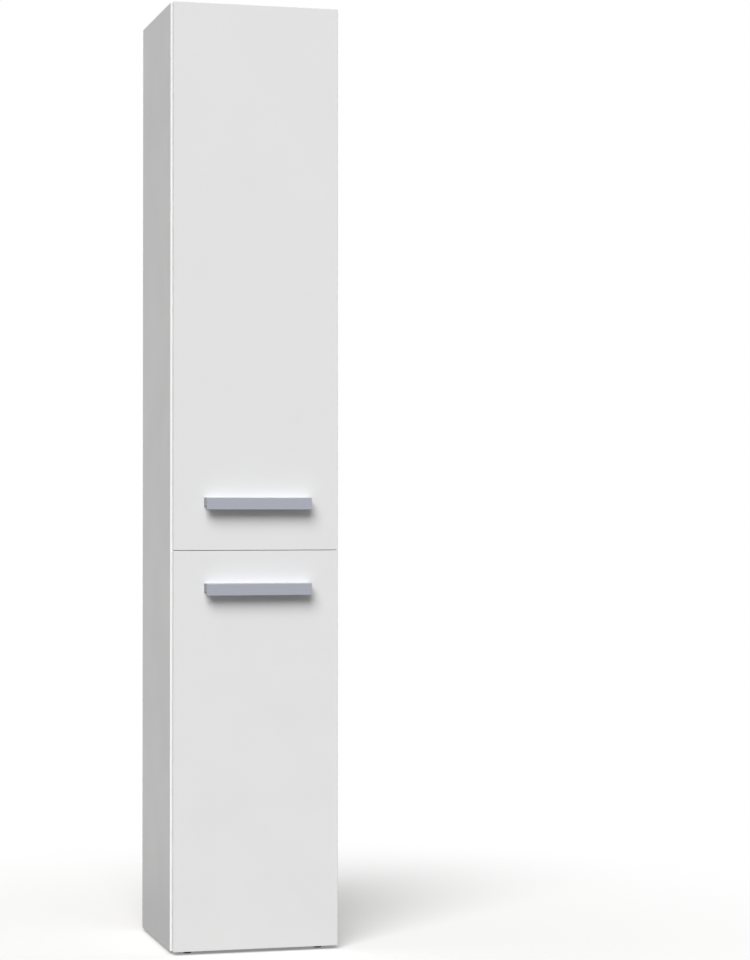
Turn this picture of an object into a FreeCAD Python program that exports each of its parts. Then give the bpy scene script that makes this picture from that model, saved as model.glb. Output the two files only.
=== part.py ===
"""Tall bathroom cabinet: a door with two shelves above, a tilting flap with a wire basket below.

Millimetres. +Z is up, the front faces -Y, and the floor is Z = 0 under the middle of the
cabinet's overall depth, handles included. The door and the flap are modelled closed.
"""
import FreeCAD, Part
import os
import re

# Driving sizes. Every one is a cell of the sheet, under its own name.
SIZES = {
    # carcass boards
    "cabinet_width": 306,
    "carcass_depth": 284,
    "carcass_height": 1688,
    "board": 16,
    "back_sheet": 3,
    "back_inset": 1,
    "edge_radius": 0.8,
    "middle_top": 714,
    "shelf_setback": 10,
    "shelf_play": 0.5,
    # door and flap leaves
    "front_gap": 2.5,
    "side_reveal": 3,
    "end_reveal": 1,
    "door_lap": 2,
    "split_gap": 1,
    # clearances shared by every fit, and the overrun of every cut
    "fit_play": 0.05,
    "overrun": 1,
    # shelf pins
    "pin_radius": 2.5,
    "pin_in_side": 8,
    "pin_in_shelf": 8,
    "pin_edge": 40,
    "pin_pitch": 32,
    # cam locks, bolts and dowels
    "cam_radius": 7.5,
    "cam_depth": 12.5,
    "cam_from_end": 24,
    "cam_edge": 62,
    "bolt_radius": 2.5,
    "bolt_in_side": 11,
    "bolt_bore": 3,
    "dowel_radius": 4,
    "dowel_in_side": 10,
    "dowel_in_panel": 22,
    "cap_radius": 8.5,
    "cap_thick": 1,
    # nails of the back panel
    "nail_radius": 1.2,
    "nail_length": 18,
    "nail_end": 45,
    # feet
    "foot_height": 5.5,
    "foot_radius": 7.5,
    "foot_round": 1.2,
    "foot_side": 33.5,
    "foot_edge": 13,
    "stud_radius": 2.5,
    "stud_length": 11,
    # bar handles
    "handle_length": 191,
    "handle_height": 21.5,
    "handle_depth": 26,
    "handle_lip": 6.5,
    "handle_web": 15,
    "handle_round": 0.8,
    "door_handle_rise": 83,
    "flap_handle_drop": 68.5,
    "handle_screw_inset": 15.5,
    "handle_screw_radius": 2,
    "handle_screw_bite": 10,
    "handle_screw_head": 4,
    "handle_head_thick": 1.8,
    # bumpers
    "bumper_radius": 4,
    "bumper_thick": 2,
    "bumper_end": 22,
    # hinges: cup, pin, arm, plate
    "hinge_pin_inset": 6,
    "hinge_pin_radius": 1.25,
    "hinge_eye_radius": 2.2,
    "hinge_nose": 2.5,
    "hinge_nose_half": 3.5,
    "cup_radius": 17.5,
    "cup_edge": 3,
    "cup_depth": 12,
    "cup_wall": 1,
    "cup_notch_half": 5,
    "flange_half_length": 31,
    "flange_half_width": 8,
    "flange_thick": 1.5,
    "cup_screw_reach": 24,
    "cup_screw_radius": 1.75,
    "cup_screw_bite": 11,
    "cup_screw_head": 3.5,
    "cup_head_thick": 1.4,
    "arm_rise": 1,
    "arm_thick": 4,
    "arm_half_width": 7,
    "arm_length": 60,
    "arm_screw_at": 50,
    "arm_screw_radius": 2.2,
    "arm_screw_head": 3.6,
    "arm_head_thick": 2,
    "plate_start": 18,
    "plate_end": 62,
    "plate_half_width": 9,
    "wing_start": 29,
    "wing_end": 45,
    "wing_half": 23,
    "wing_thick": 2,
    "plate_screw_at": 37,
    "plate_screw_reach": 16,
    "plate_screw_radius": 1.9,
    "plate_screw_bite": 12,
    "plate_screw_head": 3.6,
    "plate_head_thick": 1.8,
    "door_hinge_end": 92,
    "flap_hinge_from_side": 52,
    # stop clips that end the flap's tilt
    "stop_angle": 30,
    "stop_play": 0.25,
    "stop_width": 5,
    "stop_thick": 1.5,
    "stop_half": 11,
    # wire basket
    "basket_side_gap": 3.5,
    "basket_back_gap": 37,
    "basket_front_depth": 6,
    "basket_swing_gap": 4,
    "basket_floor_height": 48,
    "ring_pitch": 155,
    "rim_wire": 2.5,
    "ring_wire": 2,
    "upright_wire": 1.5,
    "weld_sink": 0.4,
    "corner_play": 0.3,
    "floor_wire_end": 12,
    "brace_wire": 2,
    "brace_top_drop": 25,
    "brace_end_gap": 1.5,
    # clips of the basket
    "clip_width": 9,
    "clip_depth": 10,
    "clip_above": 6,
    "clip_below": 15,
    "clip_screw_drop": 9,
    "clip_from_corner": 44,
    "clip_play": 0.1,
    "clip_screw_radius": 1.6,
    "clip_screw_bite": 10,
    "clip_screw_head": 3,
    "clip_head_thick": 1.5,
    # wall bracket
    "bracket_width": 40,
    "bracket_foot": 30,
    "bracket_rise": 30,
    "bracket_thick": 2,
    "bracket_hole_rise": 18,
    "bracket_hole_radius": 2.75,
    "bracket_screw_spacing": 22,
    "bracket_screw_back": 17,
    "bracket_screw_radius": 1.9,
    "bracket_screw_bite": 12,
    "bracket_screw_head": 3.6,
    "bracket_head_thick": 1.8,
}

# Places worked out from the sizes, each written once.
PLACES = {
    "half_width": "cabinet_width / 2",
    "inner_half": "cabinet_width / 2 - board",
    "front_plane": "(handle_depth + board + front_gap - carcass_depth) / 2",
    "back_plane": "front_plane + carcass_depth",
    "back_inside": "back_plane - back_sheet",
    "side_depth": "carcass_depth - back_sheet",
    "carcass_top": "foot_height + carcass_height",
    "middle_panel_top": "foot_height + middle_top",
    "shelf_space": "carcass_height - board - middle_top",
    "leaf_back": "front_plane - front_gap",
    "leaf_front": "leaf_back - board",
    "leaf_half": "half_width - side_reveal",
    "door_bottom": "middle_panel_top - door_lap",
    "door_top": "carcass_top - end_reveal",
    "flap_bottom": "foot_height + end_reveal",
    "flap_top": "door_bottom - split_gap",
    "door_handle_low": "door_bottom + door_handle_rise - handle_height / 2",
    "flap_handle_low": "flap_top - flap_handle_drop - handle_height / 2",
    "door_lapped": "board - side_reveal",
    "flap_lapped": "board - end_reveal",
    "cup_centre": "cup_edge + cup_radius",
    "pin_depth": "front_gap + board / 2",
    "pin_to_cup": "cup_centre - hinge_pin_inset + hinge_pin_radius",
    "hinge_pin_half": "sqrt((cup_radius) ^ 2 - (pin_to_cup) ^ 2) - fit_play",
    "arm_offset": "board + arm_rise",
    "flap_hinge_reach": "inner_half - flap_hinge_from_side",
    "flap_pin_y": "front_plane - pin_depth",
    "flap_pin_z": "flap_bottom + hinge_pin_inset",
    # The basket's highest point when it swings out is a back corner with its brace.
    "swing_radius": "middle_panel_top - board - basket_swing_gap - brace_wire - flap_pin_z",
    "basket_half": "inner_half - basket_side_gap - rim_wire",
    "basket_width": "2 * basket_half",
    "basket_back": "back_inside - basket_back_gap",
    "basket_front": "leaf_back + basket_front_depth",
    "brace_low": "flap_pin_z + sqrt((swing_radius) ^ 2 - (basket_back - flap_pin_y) ^ 2)",
    "basket_rim": "brace_low - brace_wire - rim_wire",
    "basket_floor": "foot_height + basket_floor_height",
    "weld_step": "ring_wire + upright_wire - weld_sink",
    "corner_upright": "basket_half - rim_wire - upright_wire - corner_play",
    "clip_reach": "basket_half - clip_from_corner",
    "brace_high": "flap_top - brace_top_drop",
    "brace_front": "leaf_back + brace_end_gap",
    "brace_run": "basket_back - brace_front",
    "brace_climb": "brace_high - brace_low",
}

PIN_ROWS = (-1, 0, 1)
SIDE_NAILS = 10
BACK_UPRIGHTS = 7
FRONT_UPRIGHTS = 4
SHELF_SHARES = {"upper_shelf": "0.619", "lower_shelf": "0.2464"}
SIDE_UPRIGHT_SHARES = ("1 / 3", "2 / 3")
FLOOR_WIRE_SHARES = ("1 / 6", "1 / 2", "5 / 6")
ALL_BOX_EDGES = range(1, 13)
FRONT_BOX_EDGES = (9, 10)
SIDES = (("left", -1), ("right", 1))
AXIS_TURNS = {
    "x": FreeCAD.Rotation(FreeCAD.Vector(0, 1, 0), 90),
    "y": FreeCAD.Rotation(FreeCAD.Vector(1, 0, 0), -90),
    "z": FreeCAD.Rotation(),
}

doc = FreeCAD.newDocument("bathroom_cabinet")
sheet = doc.addObject("Spreadsheet::Sheet", "sizes")
for row, (alias, value) in enumerate(SIZES.items(), start=1):
    sheet.set(f"A{row}", alias)
    sheet.set(f"B{row}", str(value))
    sheet.setAlias(f"B{row}", alias)
doc.recompute()

nodes = []
WORD = re.compile(r"[a-z]+(?:_[a-z]+)*")


def expression(text):
    """Spell out the named sizes and places of a text as an expression on the sheet."""
    def spell(match):
        word = match.group()
        if word in PLACES:
            return "(" + expression(PLACES[word]) + ")"
        return "sizes." + word if word in SIZES else word
    return WORD.sub(spell, text)


def box(name, start, span):
    """A box from its low corner and its three lengths."""
    solid = doc.addObject("Part::Box", name)
    for size, text in zip(("Length", "Width", "Height"), span):
        solid.setExpression(size, expression(text))
    for axis, text in zip("xyz", start):
        solid.setExpression("Placement.Base." + axis, expression(text))
    return solid


def rod(name, axis, start, radius, length):
    """A cylinder along an axis, from the centre of its low end."""
    solid = doc.addObject("Part::Cylinder", name)
    solid.Placement = FreeCAD.Placement(FreeCAD.Vector(), AXIS_TURNS[axis])
    solid.setExpression("Radius", expression(radius))
    solid.setExpression("Height", expression(length))
    for coordinate, text in zip("xyz", start):
        solid.setExpression("Placement.Base." + coordinate, expression(text))
    return solid


def soften(blank, radius, edges):
    """Round some edges of a blank by a named radius."""
    blank.recompute()
    fillet = doc.addObject("Part::Fillet", blank.Name + "_rounded")
    fillet.Base = blank
    size = float(sheet.get(radius))
    fillet.Edges = [(edge, size, size) for edge in edges]
    return fillet


def fuse(name, solids):
    """Join solids that are one welded or cast piece."""
    joined = doc.addObject("Part::MultiFuse", name)
    joined.Shapes = solids
    return joined


def cut(name, blank, tools):
    """Cut a list of separate tools from a blank."""
    tool = doc.addObject("Part::Compound", name + "_tools")
    tool.Links = tools
    result = doc.addObject("Part::Cut", name)
    result.Base = blank
    result.Tool = tool
    return result


def node(label, solids):
    """Give a piece, or a group of like pieces, the label that names it."""
    piece = solids
    if isinstance(solids, list):
        piece = doc.addObject("Part::Compound", label)
        piece.Links = solids
    piece.Label = label
    nodes.append(piece)


# Holes are gathered here for each board while the fittings are made.
drillings = {name: [] for name in (
    "side_panel_left", "side_panel_right", "top_panel", "middle_panel", "bottom_panel",
    "back_panel", "door_panel", "flap_panel")}

# Cam locks, bolts and dowels: the horizontal boards are drawn tight against the sides.
# Each board is given by its low face and by the face that its cams are let into.
BOARDS = {
    "top_panel": ("carcass_top - board", "top"),
    "middle_panel": ("middle_panel_top - board", "under"),
    "bottom_panel": ("foot_height", "under"),
}
cams, caps, bolts, dowels = [], [], [], []


def side_rod(name, sign, inside, outside, y, z, radius):
    """A rod along X across the joint of a board's end and a side panel."""
    length = f"{inside} + {outside}"
    start = f"inner_half - ({inside})" if sign > 0 else f"-inner_half - ({outside})"
    return rod(name, "x", (start, y, z), radius, length)


def cam_joint(board, low, face, side, sign, y):
    """One cam lock with its bolt in the end of a board."""
    axis_z = f"{low} + board / 2"
    cam_x = f"{sign} * (inner_half - cam_from_end)"
    seat = f"{low} + board - cam_depth" if face == "top" else low
    bore_low = seat if face == "top" else f"{low} - overrun"
    cap_low = f"{low} + board" if face == "top" else f"{low} - cap_thick"
    drillings[board].append(
        rod("cam_bore", "z", (cam_x, y, bore_low), "cam_radius", "cam_depth + overrun"))
    drillings[board].append(
        side_rod("bolt_bore", sign, "cam_from_end", "overrun", y, axis_z, "bolt_bore"))
    drillings[side].append(
        side_rod("bolt_hole", sign, "overrun", "bolt_in_side", y, axis_z,
                 "bolt_radius + fit_play"))
    bolts.append(side_rod("bolt", sign, "cam_from_end", "bolt_in_side", y, axis_z, "bolt_radius"))
    slot_x = cam_x if sign > 0 else f"{cam_x} - cam_radius - overrun"
    slot = box(
        "cam_slot",
        (f"{slot_x} - {sign} * fit_play", f"{y} - bolt_bore", f"{axis_z} - bolt_bore"),
        ("cam_radius + overrun", "2 * bolt_bore", "2 * bolt_bore"))
    blank = rod("cam_blank", "z", (cam_x, y, seat), "cam_radius - fit_play", "cam_depth")
    cams.append(cut("cam", blank, [slot]))
    caps.append(rod("cap", "z", (cam_x, y, cap_low), "cap_radius", "cap_thick"))


for board, (low, face) in BOARDS.items():
    for hand, sign in SIDES:
        side = "side_panel_" + hand
        for y in ("front_plane + cam_edge", "back_inside - cam_edge"):
            cam_joint(board, low, face, side, sign, y)
        middle_y = "(front_plane + back_inside) / 2"
        axis_z = f"{low} + board / 2"
        drillings[board].append(
            side_rod("dowel_bore", sign, "dowel_in_panel", "overrun", middle_y, axis_z,
                     "dowel_radius + fit_play"))
        drillings[side].append(
            side_rod("dowel_hole", sign, "overrun", "dowel_in_side", middle_y, axis_z,
                     "dowel_radius + fit_play"))
        dowels.append(
            side_rod("dowel", sign, "dowel_in_panel", "dowel_in_side", middle_y, axis_z,
                     "dowel_radius"))

node("cam_locks", cams)
node("cam_caps", caps)
node("cam_bolts", bolts)
node("dowels", dowels)

# Adjustable shelves on pins, each at its share of the space above the middle panel. Spare
# rows of holes lie above and below each shelf.
shelf_pins = []
for shelf, share in SHELF_SHARES.items():
    under = f"middle_panel_top + shelf_space * {share} - board"
    blank = box(
        shelf + "_blank",
        ("-inner_half + shelf_play", "front_plane + shelf_setback", under),
        ("2 * (inner_half - shelf_play)", "side_depth - shelf_setback - shelf_play", "board"))
    node(shelf, soften(blank, "edge_radius", FRONT_BOX_EDGES))
    for hand, sign in SIDES:
        for y in ("front_plane + pin_edge", "back_inside - pin_edge"):
            pin_z = f"{under} - pin_radius"
            shelf_pins.append(
                side_rod("shelf_pin", sign, "pin_in_shelf", "pin_in_side", y, pin_z, "pin_radius"))
            for pitch in PIN_ROWS:
                hole_z = f"{pin_z} + {pitch} * pin_pitch"
                drillings["side_panel_" + hand].append(
                    side_rod("pin_hole", sign, "overrun", "pin_in_side + overrun", y, hole_z,
                             "pin_radius + fit_play"))
node("shelf_pins", shelf_pins)

# Back panel, nailed on behind the boards.
nails = []


def nail(board, x, z):
    """One nail from the outer face of the back panel into a board."""
    start = (x, "back_plane - nail_length", z)
    nails.append(rod("nail", "y", start, "nail_radius", "nail_length"))
    for drilled in (board, "back_panel"):
        drillings[drilled].append(
            rod("nail_hole", "y", start, "nail_radius + fit_play", "nail_length + overrun"))


for hand, sign in SIDES:
    for count in range(SIDE_NAILS):
        height = f"(carcass_height - 2 * nail_end) * {count} / {SIDE_NAILS - 1}"
        nail("side_panel_" + hand, f"{sign} * (half_width - board / 2)",
             f"foot_height + nail_end + {height}")
for board, (low, face) in BOARDS.items():
    nail(board, "0", f"{low} + board / 2")
node("back_nails", nails)
back_blank = box(
    "back_blank",
    ("-half_width + back_inset", "back_inside", "foot_height + back_inset"),
    ("cabinet_width - 2 * back_inset", "back_sheet", "carcass_height - 2 * back_inset"))
node("back_panel", cut("back_panel_drilled", back_blank, drillings["back_panel"]))

# Feet: plastic glides with a stud pressed up into the bottom panel.
feet = []
for hand, sign in SIDES:
    for y in ("front_plane + foot_edge", "back_inside - foot_edge"):
        foot_x = f"{sign} * (half_width - foot_side)"
        pad = rod("foot_pad", "z", (foot_x, y, "0"), "foot_radius", "foot_height")
        rounded = soften(pad, "foot_round", (3,))
        stud = rod("foot_stud", "z", (foot_x, y, "foot_height - overrun"), "stud_radius",
                   "stud_length + overrun")
        feet.append(fuse("foot", [rounded, stud]))
        drillings["bottom_panel"].append(
            rod("stud_hole", "z", (foot_x, y, "foot_height - overrun"),
                "stud_radius + fit_play", "stud_length + overrun + fit_play"))
node("feet", feet)


# Hinges. A hinge is drawn in its own three directions: in from the leaf's hinged edge, back
# from the plane of the carcass front, and along the pin. The door's edge is upright on the
# right, and the flap's edge lies along the bottom.
def hinge_box(leaf, name, station, inward, backward, half):
    """A box between two inward and two backward distances, centred along the pin."""
    (near, far), (front, back) = inward, backward
    depth = f"({back}) - ({front})"
    y = f"front_plane + ({front})"
    if leaf == "door":
        return box(name, (f"leaf_half - ({far})", y, f"{station} - ({half})"),
                   (f"({far}) - ({near})", depth, f"2 * ({half})"))
    return box(name, (f"{station} - ({half})", y, f"flap_bottom + ({near})"),
               (f"2 * ({half})", depth, f"({far}) - ({near})"))


def hinge_pin_rod(leaf, name, station, inward, backward, radius, half):
    """A rod along the pin's direction, centred on the hinge."""
    y = f"front_plane + ({backward})"
    if leaf == "door":
        return rod(name, "z", (f"leaf_half - ({inward})", y, f"{station} - ({half})"),
                   radius, f"2 * ({half})")
    return rod(name, "x", (f"{station} - ({half})", y, f"flap_bottom + ({inward})"),
               radius, f"2 * ({half})")


def hinge_back_rod(leaf, name, station, inward, backward, radius):
    """A rod along Y between two backward distances."""
    front, back = backward
    y = f"front_plane + ({front})"
    length = f"({back}) - ({front})"
    if leaf == "door":
        return rod(name, "y", (f"leaf_half - ({inward})", y, station), radius, length)
    return rod(name, "y", (station, y, f"flap_bottom + ({inward})"), radius, length)


def hinge_inward_rod(leaf, name, station, inward, backward, radius):
    """A rod along the inward direction between two distances."""
    near, far = inward
    y = f"front_plane + ({backward})"
    length = f"({far}) - ({near})"
    if leaf == "door":
        return rod(name, "x", (f"leaf_half - ({far})", y, station), radius, length)
    return rod(name, "z", (station, y, f"flap_bottom + ({near})"), radius, length)


def hinge_cup(leaf, station):
    """Pressed cup with its flange, let into the back of the leaf."""
    mouth = "-front_gap"
    floor = "-front_gap - cup_depth"
    flange_top = "-front_gap + flange_thick"
    bowl = hinge_back_rod(leaf, "cup_bowl", station, "cup_centre", (floor, mouth),
                          "cup_radius - fit_play")
    flange = hinge_box(leaf, "cup_flange", station,
                       ("cup_centre - flange_half_width", "cup_centre + flange_half_width"),
                       (mouth, flange_top), "flange_half_length")
    hollow = hinge_back_rod(leaf, "cup_hollow", station, "cup_centre",
                            (f"{floor} + cup_wall", f"{flange_top} + overrun"),
                            "cup_radius - cup_wall")
    notch = hinge_box(leaf, "cup_notch", station, ("cup_edge - overrun", "hinge_pin_inset"),
                      (f"{floor} + cup_wall", f"{mouth} + overrun"), "cup_notch_half")
    pin_hole = hinge_pin_rod(leaf, "cup_pin_hole", station, "hinge_pin_inset", "-pin_depth",
                             "hinge_pin_radius + fit_play", "hinge_pin_half")
    screw_holes = [
        hinge_back_rod(leaf, "cup_screw_hole", f"{station} + {end} * cup_screw_reach",
                       "cup_centre", (f"{mouth} - overrun", f"{flange_top} + overrun"),
                       "cup_screw_radius + fit_play")
        for end in (-1, 1)]
    pressed = fuse("cup_pressed", [bowl, flange])
    opened = cut("cup_opened", pressed, [hollow])
    cleared = cut("cup_notched", opened, [notch])
    drillings[leaf + "_panel"].append(
        hinge_back_rod(leaf, "cup_bore", station, "cup_centre", (floor, f"{mouth} + overrun"),
                       "cup_radius"))
    return cut("hinge_cup", cleared, [pin_hole] + screw_holes)


def cup_screws(leaf, station):
    """The two screws of a cup's flange."""
    flange_top = "-front_gap + flange_thick"
    screws = []
    for end in (-1, 1):
        at = f"{station} + {end} * cup_screw_reach"
        bite = "-front_gap - cup_screw_bite"
        shank = hinge_back_rod(leaf, "cup_screw_shank", at, "cup_centre", (bite, flange_top),
                               "cup_screw_radius")
        head = hinge_back_rod(leaf, "cup_screw_head", at, "cup_centre",
                              (flange_top, f"{flange_top} + cup_head_thick"), "cup_screw_head")
        screws.append(fuse("cup_screw", [shank, head]))
        drillings[leaf + "_panel"].append(
            hinge_back_rod(leaf, "cup_screw_pilot", at, "cup_centre",
                           (f"{bite} - fit_play", "-front_gap + overrun"),
                           "cup_screw_radius + fit_play"))
    return screws


def hinge_arm(leaf, station):
    """Arm that reaches from its plate into the cup and ends in an eye round the pin."""
    nose_front = "-pin_depth - hinge_nose / 2"
    nose_back = "-pin_depth + hinge_nose / 2"
    leg = hinge_box(leaf, "arm_leg", station, ("arm_offset", "arm_offset + arm_thick"),
                    (nose_front, "arm_length"), "arm_half_width")
    nose = hinge_box(leaf, "arm_nose", station, ("hinge_pin_inset", "arm_offset + arm_thick / 2"),
                     (nose_front, nose_back), "hinge_nose_half")
    eye = hinge_pin_rod(leaf, "arm_eye", station, "hinge_pin_inset", "-pin_depth",
                        "hinge_eye_radius", "hinge_nose_half")
    bore = hinge_pin_rod(leaf, "arm_bore", station, "hinge_pin_inset", "-pin_depth",
                         "hinge_pin_radius + fit_play", "hinge_nose_half + overrun")
    screw_hole = hinge_inward_rod(
        leaf, "arm_screw_hole", station,
        ("arm_offset - overrun", "arm_offset + arm_thick + overrun"), "arm_screw_at",
        "arm_screw_radius + fit_play")
    return cut("hinge_arm", fuse("arm_bent", [leg, nose, eye]), [bore, screw_hole])


def hinge_plate(leaf, station):
    """Winged mounting plate between a carcass board and the arm."""
    face = leaf + "_lapped"
    body = hinge_box(leaf, "plate_body", station, (face, "arm_offset"),
                     ("plate_start", "plate_end"), "plate_half_width")
    wings = hinge_box(leaf, "plate_wings", station, (face, f"{face} + wing_thick"),
                      ("wing_start", "wing_end"), "wing_half")
    holes = [
        hinge_inward_rod(leaf, "plate_screw_hole", f"{station} + {end} * plate_screw_reach",
                         (f"{face} - overrun", "arm_offset + overrun"), "plate_screw_at",
                         "plate_screw_radius + fit_play")
        for end in (-1, 1)]
    holes.append(hinge_inward_rod(leaf, "plate_arm_hole", station,
                                  (f"{face} - overrun", "arm_offset + overrun"), "arm_screw_at",
                                  "arm_screw_radius + fit_play"))
    return cut("hinge_plate", fuse("plate_blank", [body, wings]), holes)


def plate_screws(leaf, station, board):
    """The two screws that hold a mounting plate on its board."""
    face = leaf + "_lapped"
    seat = f"{face} + wing_thick"
    screws = []
    for end in (-1, 1):
        at = f"{station} + {end} * plate_screw_reach"
        shank = hinge_inward_rod(leaf, "plate_screw_shank", at,
                                 (f"{face} - plate_screw_bite", seat), "plate_screw_at",
                                 "plate_screw_radius")
        head = hinge_inward_rod(leaf, "plate_screw_cap", at,
                                (seat, f"{seat} + plate_head_thick"), "plate_screw_at",
                                "plate_screw_head")
        screws.append(fuse("plate_screw", [shank, head]))
        drillings[board].append(
            hinge_inward_rod(leaf, "plate_screw_pilot", at,
                             (f"{face} - plate_screw_bite - fit_play", f"{face} + overrun"),
                             "plate_screw_at", "plate_screw_radius + fit_play"))
    return screws


def arm_screw(leaf, station):
    """The screw that holds an arm on its plate."""
    top = "arm_offset + arm_thick"
    shank = hinge_inward_rod(leaf, "arm_screw_shank", station,
                             (f"{leaf}_lapped + fit_play", top), "arm_screw_at",
                             "arm_screw_radius")
    head = hinge_inward_rod(leaf, "arm_screw_cap", station, (top, f"{top} + arm_head_thick"),
                            "arm_screw_at", "arm_screw_head")
    return fuse("arm_screw", [shank, head])


def stop_clip(station):
    """Bar across the mouth of a flap cup that meets the arm when the flap is tilted out."""
    reach = ("hinge_pin_inset + (arm_offset - hinge_pin_inset - stop_play"
             " - board / 2 * sin(stop_angle * 1 deg)) / cos(stop_angle * 1 deg)")
    return hinge_box("flap", "stop_clip", station, (f"{reach} - stop_width", reach),
                     ("-front_gap - stop_thick", "-front_gap"), "stop_half")


HINGE_STATIONS = {
    "door": ("door_bottom + door_hinge_end", "(door_bottom + door_top) / 2",
             "door_top - door_hinge_end"),
    "flap": ("-flap_hinge_reach", "flap_hinge_reach"),
}
HINGE_BOARDS = {"door": "side_panel_right", "flap": "bottom_panel"}
for leaf, stations in HINGE_STATIONS.items():
    board = HINGE_BOARDS[leaf]
    node(leaf + "_hinge_cups", [hinge_cup(leaf, station) for station in stations])
    node(leaf + "_cup_screws",
         [screw for station in stations for screw in cup_screws(leaf, station)])
    node(leaf + "_hinge_pins",
         [hinge_pin_rod(leaf, "hinge_pin", station, "hinge_pin_inset", "-pin_depth",
                        "hinge_pin_radius", "hinge_pin_half") for station in stations])
    node(leaf + "_hinge_arms", [hinge_arm(leaf, station) for station in stations])
    node(leaf + "_hinge_plates", [hinge_plate(leaf, station) for station in stations])
    node(leaf + "_plate_screws",
         [screw for station in stations for screw in plate_screws(leaf, station, board)])
    node(leaf + "_arm_screws", [arm_screw(leaf, station) for station in stations])
node("flap_stop_clips", [stop_clip(station) for station in HINGE_STATIONS["flap"]])


# Bar handles: an L-shaped aluminium section with a finger recess behind its lip.
def bar_handle(leaf, low):
    """The handle of one leaf, with its two screws from inside the leaf."""
    start_x = "-handle_length / 2"
    front = "leaf_front - handle_depth"
    web_low = f"{low} + handle_height - handle_web"
    lip = box("handle_lip", (start_x, front, low),
              ("handle_length", "handle_lip", "handle_height"))
    web = box("handle_web", (start_x, f"{front} + handle_lip / 2", web_low),
              ("handle_length", "handle_depth - handle_lip / 2", "handle_web"))
    lip_rounded = soften(lip, "handle_round", ALL_BOX_EDGES)
    profile = fuse("handle_profile", [lip_rounded, web])
    screw_z = f"{web_low} + handle_web / 2"
    screws, sockets = [], []
    for sign in (-1, 1):
        screw_x = f"{sign} * (handle_length / 2 - handle_screw_inset)"
        tip = "leaf_front - handle_screw_bite"
        start = (screw_x, tip, screw_z)
        sockets.append(rod("handle_socket", "y", (screw_x, f"{tip} - fit_play", screw_z),
                           "handle_screw_radius + fit_play",
                           "handle_screw_bite + fit_play + overrun"))
        drillings[leaf + "_panel"].append(
            rod("handle_hole", "y", (screw_x, "leaf_front - overrun", screw_z),
                "handle_screw_radius + fit_play", "board + 2 * overrun"))
        shank = rod("handle_shank", "y", start, "handle_screw_radius",
                    "handle_screw_bite + board")
        head = rod("handle_head", "y", (screw_x, "leaf_back", screw_z), "handle_screw_head",
                   "handle_head_thick")
        screws.append(fuse("handle_screw", [shank, head]))
    node(leaf + "_handle", cut(leaf + "_handle_drilled", profile, sockets))
    node(leaf + "_handle_screws", screws)


bar_handle("door", "door_handle_low")
bar_handle("flap", "flap_handle_low")

# Soft bumpers on the back of the leaves, where they meet the front edges of the sides.
door_bumpers = [
    rod("door_bumper", "y", ("-half_width + board / 2", "leaf_back", z), "bumper_radius",
        "bumper_thick")
    for z in ("door_bottom + bumper_end", "door_top - bumper_end")]
flap_bumpers = [
    rod("flap_bumper", "y", (f"{sign} * (half_width - board / 2)", "leaf_back",
                             "flap_top - bumper_end"), "bumper_radius", "bumper_thick")
    for hand, sign in SIDES]
node("door_bumpers", door_bumpers)
node("flap_bumpers", flap_bumpers)

# Wire basket: flat welded walls that meet at the corners, rings outside and uprights inside.
# As many rings hang below the rim, a pitch apart, as there is room for above the floor ring.
RINGS = int(sheet.evalExpression(expression("(basket_rim - basket_floor) / ring_pitch"))) + 1
LEVELS = [f"basket_rim - {ring} * ring_pitch" for ring in range(RINGS)] + ["basket_floor"]
WIRES = ["rim_wire"] + ["ring_wire"] * RINGS


def spread(first, last, count, index):
    """The place of one of several things spread evenly from first to last."""
    return f"({first}) + (({last}) - ({first})) * {index} / {count - 1}"


def upright(x, y):
    """An upright wire of a basket wall, from the floor ring to the rim."""
    return rod("upright", "z", (x, y, "basket_floor"), "upright_wire", "basket_rim - basket_floor")


def cross_wall(label, y, inner_y, count):
    """The front or back wall: wires along X, with uprights on the inner side."""
    wires = [
        rod("ring_run", "x", ("-basket_half - ring_wire", y, level), wire,
            "basket_width + 2 * ring_wire")
        for level, wire in zip(LEVELS, WIRES)]
    wires += [
        upright(spread("-corner_upright", "corner_upright", count, index), inner_y)
        for index in range(count)]
    node(label, fuse(label + "_welded", wires))


def side_wall(label, sign):
    """The left or right wall: wires along Y, with uprights on the inner side."""
    wires = [
        rod("ring_run", "y", (f"{sign} * basket_half", f"basket_front + {wire}", level), wire,
            f"basket_back - basket_front - 2 * {wire}")
        for level, wire in zip(LEVELS, WIRES)]
    wires += [
        upright(f"{sign} * (basket_half - weld_step)",
                f"basket_front + (basket_back - basket_front) * {share}")
        for share in SIDE_UPRIGHT_SHARES]
    node(label, fuse(label + "_welded", wires))


cross_wall("basket_back_wall", "basket_back", "basket_back - weld_step", BACK_UPRIGHTS)
cross_wall("basket_front_wall", "basket_front", "basket_front + weld_step", FRONT_UPRIGHTS)
for hand, sign in SIDES:
    side_wall(f"basket_{hand}_wall", sign)

FLOOR_CROSS_Z = "basket_floor + ring_wire + upright_wire"
floor_wires = [
    rod("floor_cross", "x",
        ("-basket_half", f"basket_front + (basket_back - basket_front) * {share}",
         FLOOR_CROSS_Z), "upright_wire", "basket_width")
    for share in FLOOR_WIRE_SHARES]
floor_wires += [
    rod("floor_run", "y",
        (spread("-corner_upright", "corner_upright", BACK_UPRIGHTS, index),
         "basket_front + floor_wire_end", f"{FLOOR_CROSS_Z} + 2 * upright_wire - weld_sink"),
        "upright_wire", "basket_back - basket_front - 2 * floor_wire_end")
    for index in range(1, BACK_UPRIGHTS - 1)]
node("basket_floor_grille", fuse("basket_floor_welded", floor_wires))


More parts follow.
